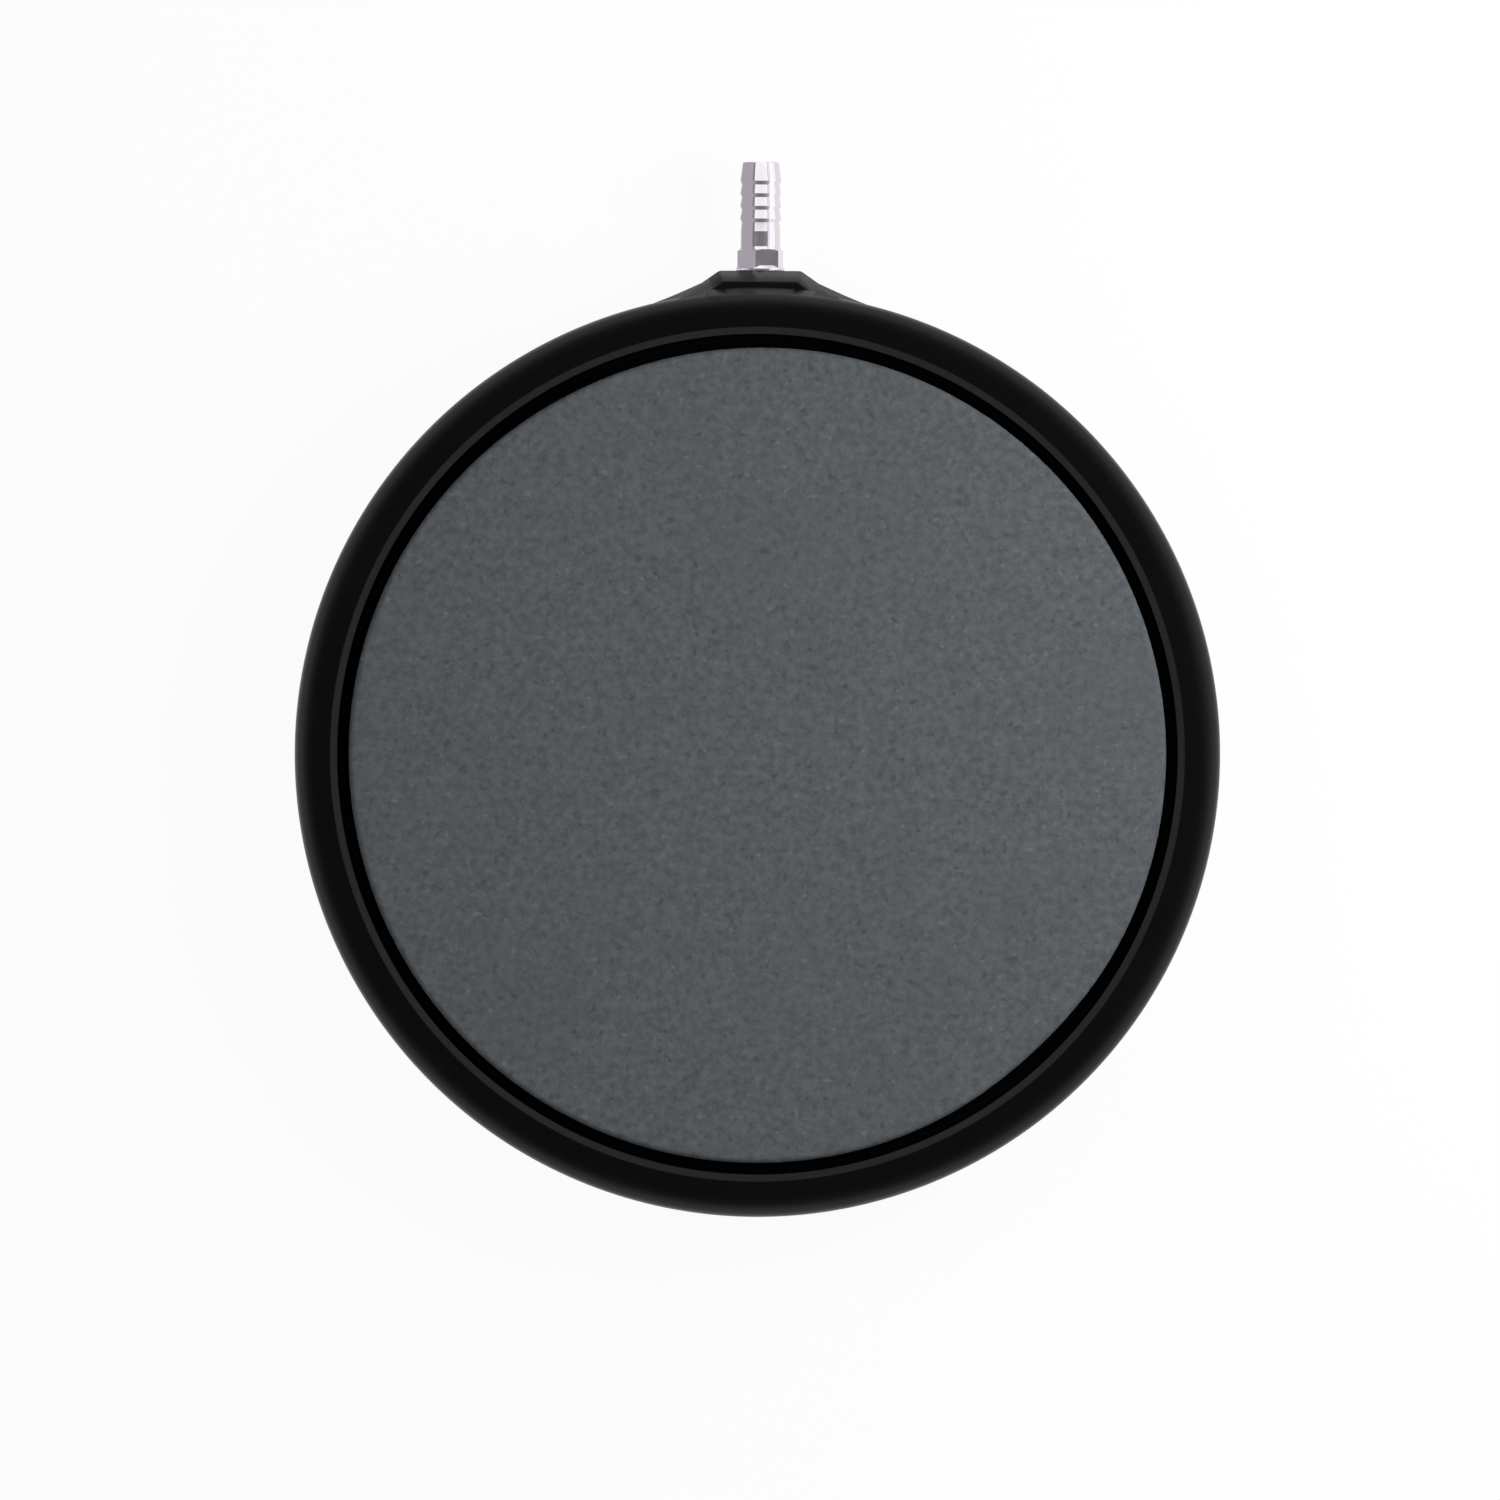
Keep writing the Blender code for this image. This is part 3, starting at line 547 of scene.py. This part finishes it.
def noise_field(tree, place, scale, detail=2.0, rough=0.5):
    """Soft random values from 0 to 1, this many to a metre."""
    node = tree.nodes.new("ShaderNodeTexNoise")
    node.inputs["Scale"].default_value = scale
    node.inputs["Detail"].default_value = detail
    node.inputs["Roughness"].default_value = rough
    tree.links.new(place, node.inputs["Vector"])
    return node.outputs["Fac"]


def remapped(tree, value, from_low, from_high, to_low, to_high):
    """A value stretched from one range to another, and kept within it."""
    node = tree.nodes.new("ShaderNodeMapRange")
    node.inputs["From Min"].default_value = from_low
    node.inputs["From Max"].default_value = from_high
    node.inputs["To Min"].default_value = to_low
    node.inputs["To Max"].default_value = to_high
    tree.links.new(value, node.inputs["Value"])
    return node.outputs["Result"]


def bumped(tree, shader, height, depth):
    """Fine relief in the finish, from values between 0 and 1, this deep."""
    node = tree.nodes.new("ShaderNodeBump")
    node.inputs["Distance"].default_value = depth
    tree.links.new(height, node.inputs["Height"])
    tree.links.new(node.outputs["Normal"], shader.inputs["Normal"])


# Satin black: the mould's fine spark-eroded texture, with faint cloudiness in the gloss.
SATIN_BLACK = (0.0026, 0.0026, 0.0031)
black_abs, tree, shader, place = finish("black satin ABS", SATIN_BLACK, 0.34)
shader.inputs["Specular IOR Level"].default_value = 0.2
cloud = noise_field(tree, place, 35)
tree.links.new(remapped(tree, cloud, 0.3, 0.7, 0.30, 0.37), shader.inputs["Roughness"])
bumped(tree, shader, noise_field(tree, place, 3500, detail=3), 0.000012)
housing.data.materials.clear()
housing.data.materials.append(black_abs)
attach(housing, "root")
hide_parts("housing")

# ---------------------------------------------------------------- adhesive ring
# The bond is a bead of black silicone, run round the ledge before the stone is pressed in. It
# fills the foot of the groove, where it was smoothed by hand and so is slightly uneven.

bead_low, bead_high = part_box("adhesive_ring")
BEAD_DIP = 0.0006
BEAD_ROUND = 0.0005
BEAD_EDGE = 0.0001
BEAD_SINK = 0.00015
BEAD_SEGMENTS = 480
BEAD_RIPPLES = ((180, 0.00012), (45, 0.00016))
SHRINKAGE = 0.0006
SHRUNK_SPOTS = ((108, 34), (-47, 14))
bead_inner = STONE_RADIUS + CLEARANCE
bead_outer = bead_high.x


def drawn_in(spot):
    """How far the stone's edge shrank in the kiln, at this spot's angle round the disc's axis."""
    angle = math.degrees(math.atan2(spot.y, spot.x))
    shrunk = 0
    for middle, width in SHRUNK_SPOTS:
        shrunk += SHRINKAGE * math.exp(-(((angle - middle) / width) ** 2))
    return shrunk


bead_section = [
    (bead_inner, bead_high.z - BEAD_EDGE, BEAD_EDGE),
    (bead_inner + BEAD_DIP, bead_high.z - BEAD_DIP, BEAD_ROUND),
    (bead_outer - BEAD_DIP, bead_high.z - BEAD_DIP, BEAD_ROUND),
    (bead_outer, bead_high.z - BEAD_EDGE, BEAD_EDGE),
    (bead_outer, bead_low.z, 0),
    (CHAMBER_RADIUS + CLEARANCE, bead_low.z, 0),
    (CHAMBER_RADIUS + CLEARANCE, below_stone, 0),
    (bead_inner, below_stone, 0),
]
shape = spun(rounded(bead_section, steps=4), BEAD_SEGMENTS, closed=True)
for vert in shape.verts:
    if vert.co.xy.length < bead_inner + BEAD_EDGE / 2:
        vert.co.xy *= 1 - drawn_in(vert.co) / bead_inner
    if vert.co.z > bead_high.z - 2 * BEAD_DIP:
        ripple = sum(noise.noise(vert.co * scale) * depth for scale, depth in BEAD_RIPPLES)
        vert.co.z += ripple - BEAD_SINK
adhesive = as_object("adhesive_bead", shape)
smooth(adhesive, 60)
SILICONE_BLACK = (0.0018, 0.0018, 0.002)
black_silicone, tree, shader, place = finish("black silicone", SILICONE_BLACK, 0.55)
shader.inputs["Specular IOR Level"].default_value = 0.12
smear = noise_field(tree, place, 160, detail=3)
tree.links.new(remapped(tree, smear, 0.3, 0.7, 0.48, 0.62), shader.inputs["Roughness"])
bumped(tree, shader, smear, 0.00006)
adhesive.data.materials.append(black_silicone)
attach(adhesive, "root")
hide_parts("adhesive_ring")

# ---------------------------------------------------------------- stone
# The stone is a flat disc of bonded grey ceramic grit, pressed and fired, which stays open all
# through so that air seeps out over its whole face. Its grains stand out from the surface.

STONE_CHAMFER = 0.0007
STONE_DEPTH = stone_high.z - stone_low.z
FACE_CELLS = 284
SIDE_STEPS = 6
GRAIN = 0.00055
COARSE_GRAIN = 2.3 * GRAIN
COARSE_SHARE = 0.6
GRAIN_RELIEF = 0.000055
WAVES_PER_METRE = 30
WAVE_HEIGHT = 0.00004
FACE_SINK = 0.00005
SHRINKAGE_FADE = 8
face_radius = STONE_RADIUS - STONE_CHAMFER


def square_to_round(x, y):
    """Maps the square from -1 to 1 onto the unit disc, with cells of even size."""
    if x == 0 and y == 0:
        return 0.0, 0.0
    if abs(x) > abs(y):
        radius, angle = x, math.pi / 4 * y / x
    else:
        radius, angle = y, math.pi / 2 - math.pi / 4 * x / y
    return radius * math.cos(angle), radius * math.sin(angle)


shape = bmesh.new()
bmesh.ops.create_grid(shape, x_segments=FACE_CELLS, y_segments=FACE_CELLS, size=1.0)
for vert in shape.verts:
    x, y = square_to_round(vert.co.x, vert.co.y)
    vert.co = (x * face_radius, y * face_radius, stone_high.z)
border = [edge for edge in shape.edges if edge.is_boundary]
side_height = STONE_DEPTH - 2 * STONE_CHAMFER
steps_down = []
for i in range(SIDE_STEPS + 1):
    steps_down.append((STONE_RADIUS, STONE_CHAMFER + side_height * i / SIDE_STEPS))
steps_down.append((face_radius, STONE_DEPTH))
for radius, depth in steps_down:
    made = bmesh.ops.extrude_edge_only(shape, edges=border)["geom"]
    for item in made:
        if isinstance(item, bmesh.types.BMVert):
            flat = Vector((item.co.x, item.co.y, 0)).normalized() * radius
            item.co = (flat.x, flat.y, stone_high.z - depth)
    border = [item for item in made if isinstance(item, bmesh.types.BMEdge)]
bmesh.ops.holes_fill(shape, edges=border, sides=0)
bmesh.ops.recalc_face_normals(shape, faces=shape.faces)
shape.normal_update()
for vert in shape.verts:
    if vert.co.z < stone_low.z + 1e-5:
        continue
    grit = noise.noise(vert.co / GRAIN) + COARSE_SHARE * noise.noise(vert.co / COARSE_GRAIN)
    waviness = noise.noise(vert.co * WAVES_PER_METRE)
    near_edge = (vert.co.xy.length / STONE_RADIUS) ** SHRINKAGE_FADE
    vert.co.xy *= 1 - drawn_in(vert.co) / STONE_RADIUS * near_edge
    vert.co += vert.normal * (GRAIN_RELIEF * grit + WAVE_HEIGHT * waviness - FACE_SINK)
stone = as_object("stone", shape)
smooth(stone, 60)


def mixed(tree, factor, first, second):
    """A colour between two, each of them a colour or another node's output."""
    node = tree.nodes.new("ShaderNodeMix")
    node.data_type = "RGBA"
    for socket, value in ((node.inputs["A"], first), (node.inputs["B"], second)):
        if isinstance(value, tuple):
            socket.default_value = (*value, 1)
        else:
            tree.links.new(value, socket)
    tree.links.new(factor, node.inputs["Factor"])
    return node.outputs["Result"]


def grains(tree, place, per_metre):
    """Cells, one to a grain, with two random values from 0 to 1 for each of them."""
    node = tree.nodes.new("ShaderNodeTexVoronoi")
    node.inputs["Scale"].default_value = per_metre
    tree.links.new(place, node.inputs["Vector"])
    parted = tree.nodes.new("ShaderNodeSeparateColor")
    tree.links.new(node.outputs["Color"], parted.inputs["Color"])
    return parted.outputs["Red"], parted.outputs["Green"]


# Fired grit: a mottle of dark and light, single pale and dark grains, faint warm blotches,
# a few bright specks of painted glint, and pores with painted shade, darker than the rest.
STONE_GREY = (0.089, 0.100, 0.107)
GRIT_DARK = (0.066, 0.0755, 0.083)
GRIT_LIGHT = (0.117, 0.1285, 0.138)
PALE_GRAIN = (0.110, 0.120, 0.127)
DARK_GRAIN = (0.055, 0.062, 0.067)
WARM_BLOTCH = (0.093, 0.089, 0.0965)
# Painted highlight: the bright colour of glints on the grit.
PAINTED_GLINT = (0.17, 0.18, 0.185)
# Painted shade: the dark colour of the shade inside the pores.
PORE_SHADE = (0.047, 0.053, 0.058)
grey_grit, tree, shader, place = finish("fired grey grit", STONE_GREY, 0.92)
grit = noise_field(tree, place, 600, detail=2, rough=0.6)
colour = mixed(tree, remapped(tree, grit, 0.28, 0.72, 0, 1), GRIT_DARK, GRIT_LIGHT)
tone, rarity = grains(tree, place, 1500)
colour = mixed(tree, remapped(tree, tone, 0, 1, 0, 0.3), colour, PALE_GRAIN)
colour = mixed(tree, remapped(tree, rarity, 0.9, 1, 0, 0.3), colour, DARK_GRAIN)
blotch = noise_field(tree, place, 28, detail=3)
colour = mixed(tree, remapped(tree, blotch, 0.52, 0.72, 0, 0.3), colour, WARM_BLOTCH)
# Painted highlight: bright specks of colour where light would glint.
painted_glints = noise_field(tree, place, 620, detail=0)
colour = mixed(tree, remapped(tree, painted_glints, 0.75, 0.84, 0, 0.5), colour, PAINTED_GLINT)
# Painted shade: dark specks of colour where the pores would hold shade.
pore_shade = noise_field(tree, place, 560, detail=1)
colour = mixed(tree, remapped(tree, pore_shade, 0.64, 0.76, 0, 0.6), colour, PORE_SHADE)
tree.links.new(colour, shader.inputs["Base Color"])
bumped(tree, shader, noise_field(tree, place, 2600, detail=2), 0.00009)
stone.data.materials.append(grey_grit)
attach(stone, "root")
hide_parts("stone_disc")

# ---------------------------------------------------------------- O-ring
# The seal is a moulded nitrile O-ring in the boss's counterbore. The fitting's flange squeezes
# it, so that no air leaks past the thread.

ring_low, ring_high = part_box("o_ring")
CORD_SEGMENTS = 20
RING_SEGMENTS = 72
cord_radius = (ring_high.y - ring_low.y) / 2
coil_radius = ring_high.x - cord_radius
cord = []
for i in range(CORD_SEGMENTS):
    turn = 2 * math.pi * i / CORD_SEGMENTS
    cord.append((coil_radius + cord_radius * math.cos(turn), cord_radius * math.sin(turn)))
shape = spun(cord, RING_SEGMENTS, closed=True)
ring_centre = (ring_low + ring_high) / 2
shape.transform(Matrix.Translation(ring_centre) @ laid_down)
seal = as_object("seal_ring", shape)
smooth(seal)
RUBBER_BLACK = (0.012, 0.012, 0.012)
nitrile, tree, shader, place = finish("black nitrile rubber", RUBBER_BLACK, 0.55)
bloom = noise_field(tree, place, 900, detail=3)
tree.links.new(remapped(tree, bloom, 0.3, 0.7, 0.5, 0.65), shader.inputs["Roughness"])
seal.data.materials.append(nitrile)
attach(seal, "root")
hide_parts("o_ring")

# ---------------------------------------------------------------- hose barb
# The fitting is turned from hexagon brass bar and bright nickel plated. Its shank screws into
# the boss, and a soft hose of 8 mm bore pushes over the four barbs up to the hexagon.

barb_low, barb_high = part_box("hose_barb")
FLANGE_SEAT = BOSS_FACE + CLEARANCE
FLANGE_RADIUS = 0.0053
FLANGE_THICKNESS = 0.0009
FLANGE_CHAMFER = 0.0006
SEAL_LIP = 0.0004
SEAL_LIP_DEPTH = 0.00028
HEX_FLATS = 0.0090
HEX_LENGTH = 0.0035
HEX_TURN = math.radians(-11.5)
HEX_CHAMFER_SLOPE = math.tan(math.radians(30))
HEX_CHAMFER_START = 0.0001
HEX_CHAMFER_EXTRA = 0.00058
HEX_BORE_RADIUS = 0.0035
HEX_BORE_LENGTH = 0.02
TIP = barb_high.y - FLANGE_SEAT
TIP_RADIUS = 0.00395
ROOT_RADIUS = 0.00415
TOOTH_RADIUS = 0.00448
TEETH = 4
TOOTH_PITCH = 0.00272
TOOTH_BACK = 0.0008
TIP_LENGTH = 0.0041
NECK_RADIUS = 0.0043
FLARE = 0.00015
FLARE_LENGTH = 0.0006
BORE_RADIUS = 0.0025
SHANK_RADIUS = 0.0040
SHANK_RELIEF = 0.0034
RELIEF_LENGTH = 0.0017
RELIEF_SLOPE = 0.0006
SHANK_CHAMFER = 0.0006
SHANK_END = barb_low.y - FLANGE_SEAT
TIP_ROUND = 0.0003
TOOTH_ROUND = 0.00008
NECK_ROUND = 0.0002
TURNED_ROUND = 0.0001
LIP_EDGE_ROUND = 0.00005
BARB_SEGMENTS = 128

hex_top = FLANGE_THICKNESS + HEX_LENGTH
outside = [(BORE_RADIUS, TIP, 0), (TIP_RADIUS, TIP, TIP_ROUND)]
ridge = TIP - TIP_LENGTH
for _ in range(TEETH):
    outside.append((TOOTH_RADIUS, ridge, TOOTH_ROUND))
    outside.append((ROOT_RADIUS, ridge - TOOTH_BACK, TOOTH_ROUND))
    ridge -= TOOTH_PITCH
outside += [
    (NECK_RADIUS, ridge, NECK_ROUND),
    (NECK_RADIUS, hex_top + FLARE_LENGTH, NECK_ROUND),
    (NECK_RADIUS + FLARE, hex_top, 0),
    (ROOT_RADIUS, hex_top - FLARE_LENGTH, 0),
    (ROOT_RADIUS, FLANGE_THICKNESS, TURNED_ROUND),
    (FLANGE_RADIUS - FLANGE_CHAMFER, FLANGE_THICKNESS, TURNED_ROUND),
    (FLANGE_RADIUS, FLANGE_THICKNESS - FLANGE_CHAMFER, TURNED_ROUND),
    (FLANGE_RADIUS, -SEAL_LIP_DEPTH, LIP_EDGE_ROUND),
    (FLANGE_RADIUS - SEAL_LIP, -SEAL_LIP_DEPTH, LIP_EDGE_ROUND),
    (FLANGE_RADIUS - SEAL_LIP, 0, LIP_EDGE_ROUND),
    (SHANK_RELIEF, 0, TURNED_ROUND),
    (SHANK_RELIEF, -RELIEF_LENGTH, TURNED_ROUND),
    (SHANK_RADIUS, -RELIEF_LENGTH - RELIEF_SLOPE, TURNED_ROUND),
    (SHANK_RADIUS, SHANK_END + SHANK_CHAMFER, TURNED_ROUND),
    (SHANK_RELIEF, SHANK_END, TURNED_ROUND),
    (BORE_RADIUS, SHANK_END, 0),
]
barb = as_object("hose_fitting", spun(rounded(outside, steps=4), BARB_SEGMENTS, closed=True))

# The hexagon, with its corners turned back to a chamfer at the top.
hex_corner = HEX_FLATS / 2 / math.cos(math.pi / 6)
hex_middle = HEX_LENGTH / 2 + FLANGE_THICKNESS * 3 / 4
shape = bmesh.new()
bmesh.ops.create_cone(
    shape,
    cap_ends=True,
    segments=6,
    radius1=hex_corner,
    radius2=hex_corner,
    depth=HEX_LENGTH + FLANGE_THICKNESS / 2,
    matrix=Matrix.Translation((0, 0, hex_middle)) @ Matrix.Rotation(HEX_TURN, 4, "Z"),
)
hexagon = as_object("hexagon", shape)
chamfer_start = HEX_FLATS / 2 + HEX_CHAMFER_START
past_corner = hex_corner + CUT_MARGIN
corner_drop = (hex_corner - HEX_FLATS / 2) * HEX_CHAMFER_SLOPE
turned_back = [
    (0, hex_top + CUT_MARGIN),
    (chamfer_start, hex_top + CUT_MARGIN),
    (chamfer_start, hex_top),
    (past_corner, hex_top - corner_drop - HEX_CHAMFER_EXTRA),
    (past_corner, -CUT_MARGIN),
    (0, -CUT_MARGIN),
]
worked(hexagon, [spun(turned_back, BARB_SEGMENTS)], "INTERSECT")
through = bmesh.new()
bmesh.ops.create_cone(
    through,
    cap_ends=True,
    segments=BARB_SEGMENTS,
    radius1=HEX_BORE_RADIUS,
    radius2=HEX_BORE_RADIUS,
    depth=HEX_BORE_LENGTH,
)
worked(hexagon, [through], "DIFFERENCE")
hex_shape = bmesh.new()
hex_shape.from_mesh(hexagon.data)
bpy.data.objects.remove(hexagon)
worked(barb, [hex_shape], "UNION")
along_y = Matrix.Rotation(-math.pi / 2, 4, "X")
barb.data.transform(Matrix.Translation((0, FLANGE_SEAT, AXIS_HEIGHT)) @ along_y)
smooth(barb)

# Bright nickel: faint lines left by the turning tool run round it, under slight tarnish.
NICKEL = (0.74, 0.705, 0.755)
nickel, tree, shader, place = finish("bright nickel plate", NICKEL, 0.10, metallic=1.0)
tarnish = noise_field(tree, place, 400, detail=3)
tree.links.new(remapped(tree, tarnish, 0.3, 0.7, 0.08, 0.13), shader.inputs["Roughness"])
tool_lines = tree.nodes.new("ShaderNodeMapping")
tool_lines.inputs["Scale"].default_value = (1, 60, 1)
tree.links.new(place, tool_lines.inputs["Vector"])
bumped(tree, shader, noise_field(tree, tool_lines.outputs["Vector"], 150, detail=2), 0.000004)
barb.data.materials.append(nickel)
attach(barb, "root")
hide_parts("hose_barb")

# ---------------------------------------------------------------- table, light and camera
# The object lies on a white table under soft light from both sides, and the camera looks
# straight down on it through a long lens.

TABLE_RADIUS = 6.0
TABLE_GAP = 0.00005
TABLE_GLOW = 0.94
shape = bmesh.new()
bmesh.ops.create_circle(shape, cap_ends=True, segments=96, radius=TABLE_RADIUS)
bmesh.ops.translate(shape, verts=shape.verts, vec=(0, 0, -TABLE_GAP))
table = as_object("table_top", shape)

# The camera and reflections see the table's white as a steady glow, with a little of its
# real shading mixed in. All other light falls on it as on a matt surface.
white_table, tree, shader, place = finish("white table", (0.9, 0.9, 0.9), 0.9)
shader.inputs["Specular IOR Level"].default_value = 0.0
seen = tree.nodes.new("ShaderNodeLightPath")
glow = tree.nodes.new("ShaderNodeEmission")
glow.inputs["Color"].default_value = (1, 1, 1, 1)
blend = tree.nodes.new("ShaderNodeMixShader")
either = tree.nodes.new("ShaderNodeMath")
either.operation = "MAXIMUM"
tree.links.new(seen.outputs["Is Camera Ray"], either.inputs[0])
tree.links.new(seen.outputs["Is Glossy Ray"], either.inputs[1])
share = tree.nodes.new("ShaderNodeMath")
share.operation = "MULTIPLY"
share.inputs[1].default_value = TABLE_GLOW
tree.links.new(either.outputs["Value"], share.inputs[0])
tree.links.new(share.outputs["Value"], blend.inputs["Fac"])
tree.links.new(shader.outputs["BSDF"], blend.inputs[1])
tree.links.new(glow.outputs["Emission"], blend.inputs[2])
tree.links.new(blend.outputs["Shader"], tree.nodes["Material Output"].inputs["Surface"])
table.data.materials.append(white_table)

# The room is pale at eye level and dark overhead, where the camera hangs. Each level is a
# height from 0 at the horizon to 1 straight up, and the brightness there.
ROOM_HORIZON = (1.60, 1.60, 1.62)
ROOM_OVERHEAD = (0.075, 0.075, 0.077)
ROOM_BLUE = 1.02
ROOM_LEVELS = (
    (0.10, 1.40),
    (0.34, 0.87),
    (0.53, 0.48),
    (0.68, 0.30),
    (0.83, 0.165),
    (0.94, 0.10),
)
world = bpy.data.worlds.new("studio")
bpy.context.scene.world = world
world.use_nodes = True
tree = world.node_tree
backdrop = tree.nodes["Background"]
direction = tree.nodes.new("ShaderNodeTexCoord")
parts = tree.nodes.new("ShaderNodeSeparateXYZ")
tree.links.new(direction.outputs["Generated"], parts.inputs["Vector"])
level = tree.nodes.new("ShaderNodeValToRGB")
stops = level.color_ramp.elements
stops[0].color = (*ROOM_HORIZON, 1)
stops[1].color = (*ROOM_OVERHEAD, 1)
for height, brightness in ROOM_LEVELS:
    stops.new(height).color = (brightness, brightness, brightness * ROOM_BLUE, 1)
tree.links.new(parts.outputs["Z"], level.inputs["Fac"])
seen = tree.nodes.new("ShaderNodeLightPath")
room = mixed(tree, seen.outputs["Is Camera Ray"], level.outputs["Color"], (1, 1, 1))
tree.links.new(room, backdrop.inputs["Color"])


def area_lamp(name, place, turn, width, length, power):
    """A lamp that can't be seen itself, at a place and turned from facing straight down."""
    lamp = bpy.data.lights.new(name, "AREA")
    lamp.shape = "RECTANGLE"
    lamp.size = width
    lamp.size_y = length
    lamp.energy = power
    holder = bpy.data.objects.new(name, lamp)
    bpy.context.scene.collection.objects.link(holder)
    holder.location = place
    holder.rotation_euler = turn
    holder.visible_camera = False
    return holder


# Two soft lamps, one either side, face the middle of the table: a place, a width and a power.
LAMPS = (
    ("light_right", (0.36, 0.12, 0.30), 0.25, 1.76),
    ("light_left", (-1.0, 0.3, 1.1), 0.8, 3.0),
)
for name, place, size, power in LAMPS:
    to_middle = (-Vector(place)).to_track_quat("-Z", "Y").to_euler()
    area_lamp(name, place, to_middle, size, size, power).visible_glossy = False

# Cards round the fitting, for the bright bands along it. They light the fitting alone. Each is
# given by its two long edges, at an X and a height, then its start and end in Y and brightness.
CARD_POWER = math.pi
CARDS = (
    ("card_above", (-0.40, 0.6), (0.42, 0.6), -0.15, 0.17, 0.12),
    ("card_ahead", (-0.40, 0.6), (0.52, 0.6), 0.175, 1.40, 1.1),
    ("card_right", (0.54, 0.58), (0.54, 0.18), -0.30, 0.70, 0.7),
)
fitting_only = bpy.data.collections.new("fitting_only")
fitting_only.objects.link(barb)
for name, near, far, start, end, brightness in CARDS:
    middle = ((near[0] + far[0]) / 2, (start + end) / 2, (near[1] + far[1]) / 2)
    across = math.hypot(far[0] - near[0], far[1] - near[1])
    slope = math.atan2(far[1] - near[1], far[0] - near[0])
    power = CARD_POWER * brightness * across * (end - start)
    card = area_lamp(name, middle, (0, -slope, 0), across, end - start, power)
    card.light_linking.receiver_collection = fitting_only

# A grey card stands close to the fitting on its left, where only reflections show it. It is no
# lamp but glows grey itself, which gives a grey reflection down the fitting's left side.
GREY_GLOW = (0.50, 0.475, 0.505)
GREY_CARD_X = (-0.0127, -0.0125)
GREY_CARD_Y = (0.105, 0.150)
GREY_CARD_HEIGHT = 0.0253
left, right = GREY_CARD_X
near, far = GREY_CARD_Y
shape = prism([(left, near), (right, near), (right, far), (left, far)], 0, GREY_CARD_HEIGHT)
grey_card = as_object("grey_card", shape)
glowing_grey, tree, shader, place = finish("grey card", (0, 0, 0), 1.0)
shader.inputs["Specular IOR Level"].default_value = 0.0
# The card glows with this grey, though it is no lamp.
shader.inputs["Emission Color"].default_value = (*GREY_GLOW, 1)
shader.inputs["Emission Strength"].default_value = 1.0
grey_card.data.materials.append(glowing_grey)
grey_card.visible_camera = False
grey_card.visible_diffuse = False
grey_card.visible_shadow = False

# The camera looks straight down. Its view is this wide at half the disc's height.
CAMERA_PLACE = (-0.0016, 0.0009, 6.0)
CAMERA_ROLL = math.radians(0.33)
FIELD_WIDTH = 0.3238
SENSOR_WIDTH = 36
camera = bpy.data.cameras.new("camera")
camera.sensor_width = SENSOR_WIDTH
camera.lens = SENSOR_WIDTH * (CAMERA_PLACE[2] - CROWN_HEIGHT / 2) / FIELD_WIDTH
camera.clip_start = 0.1
camera.clip_end = 20
viewer = bpy.data.objects.new("camera", camera)
bpy.context.scene.collection.objects.link(viewer)
viewer.location = CAMERA_PLACE
viewer.rotation_euler = (0, 0, CAMERA_ROLL)
bpy.context.scene.camera = viewer
bpy.context.scene.view_settings.view_transform = "Standard"
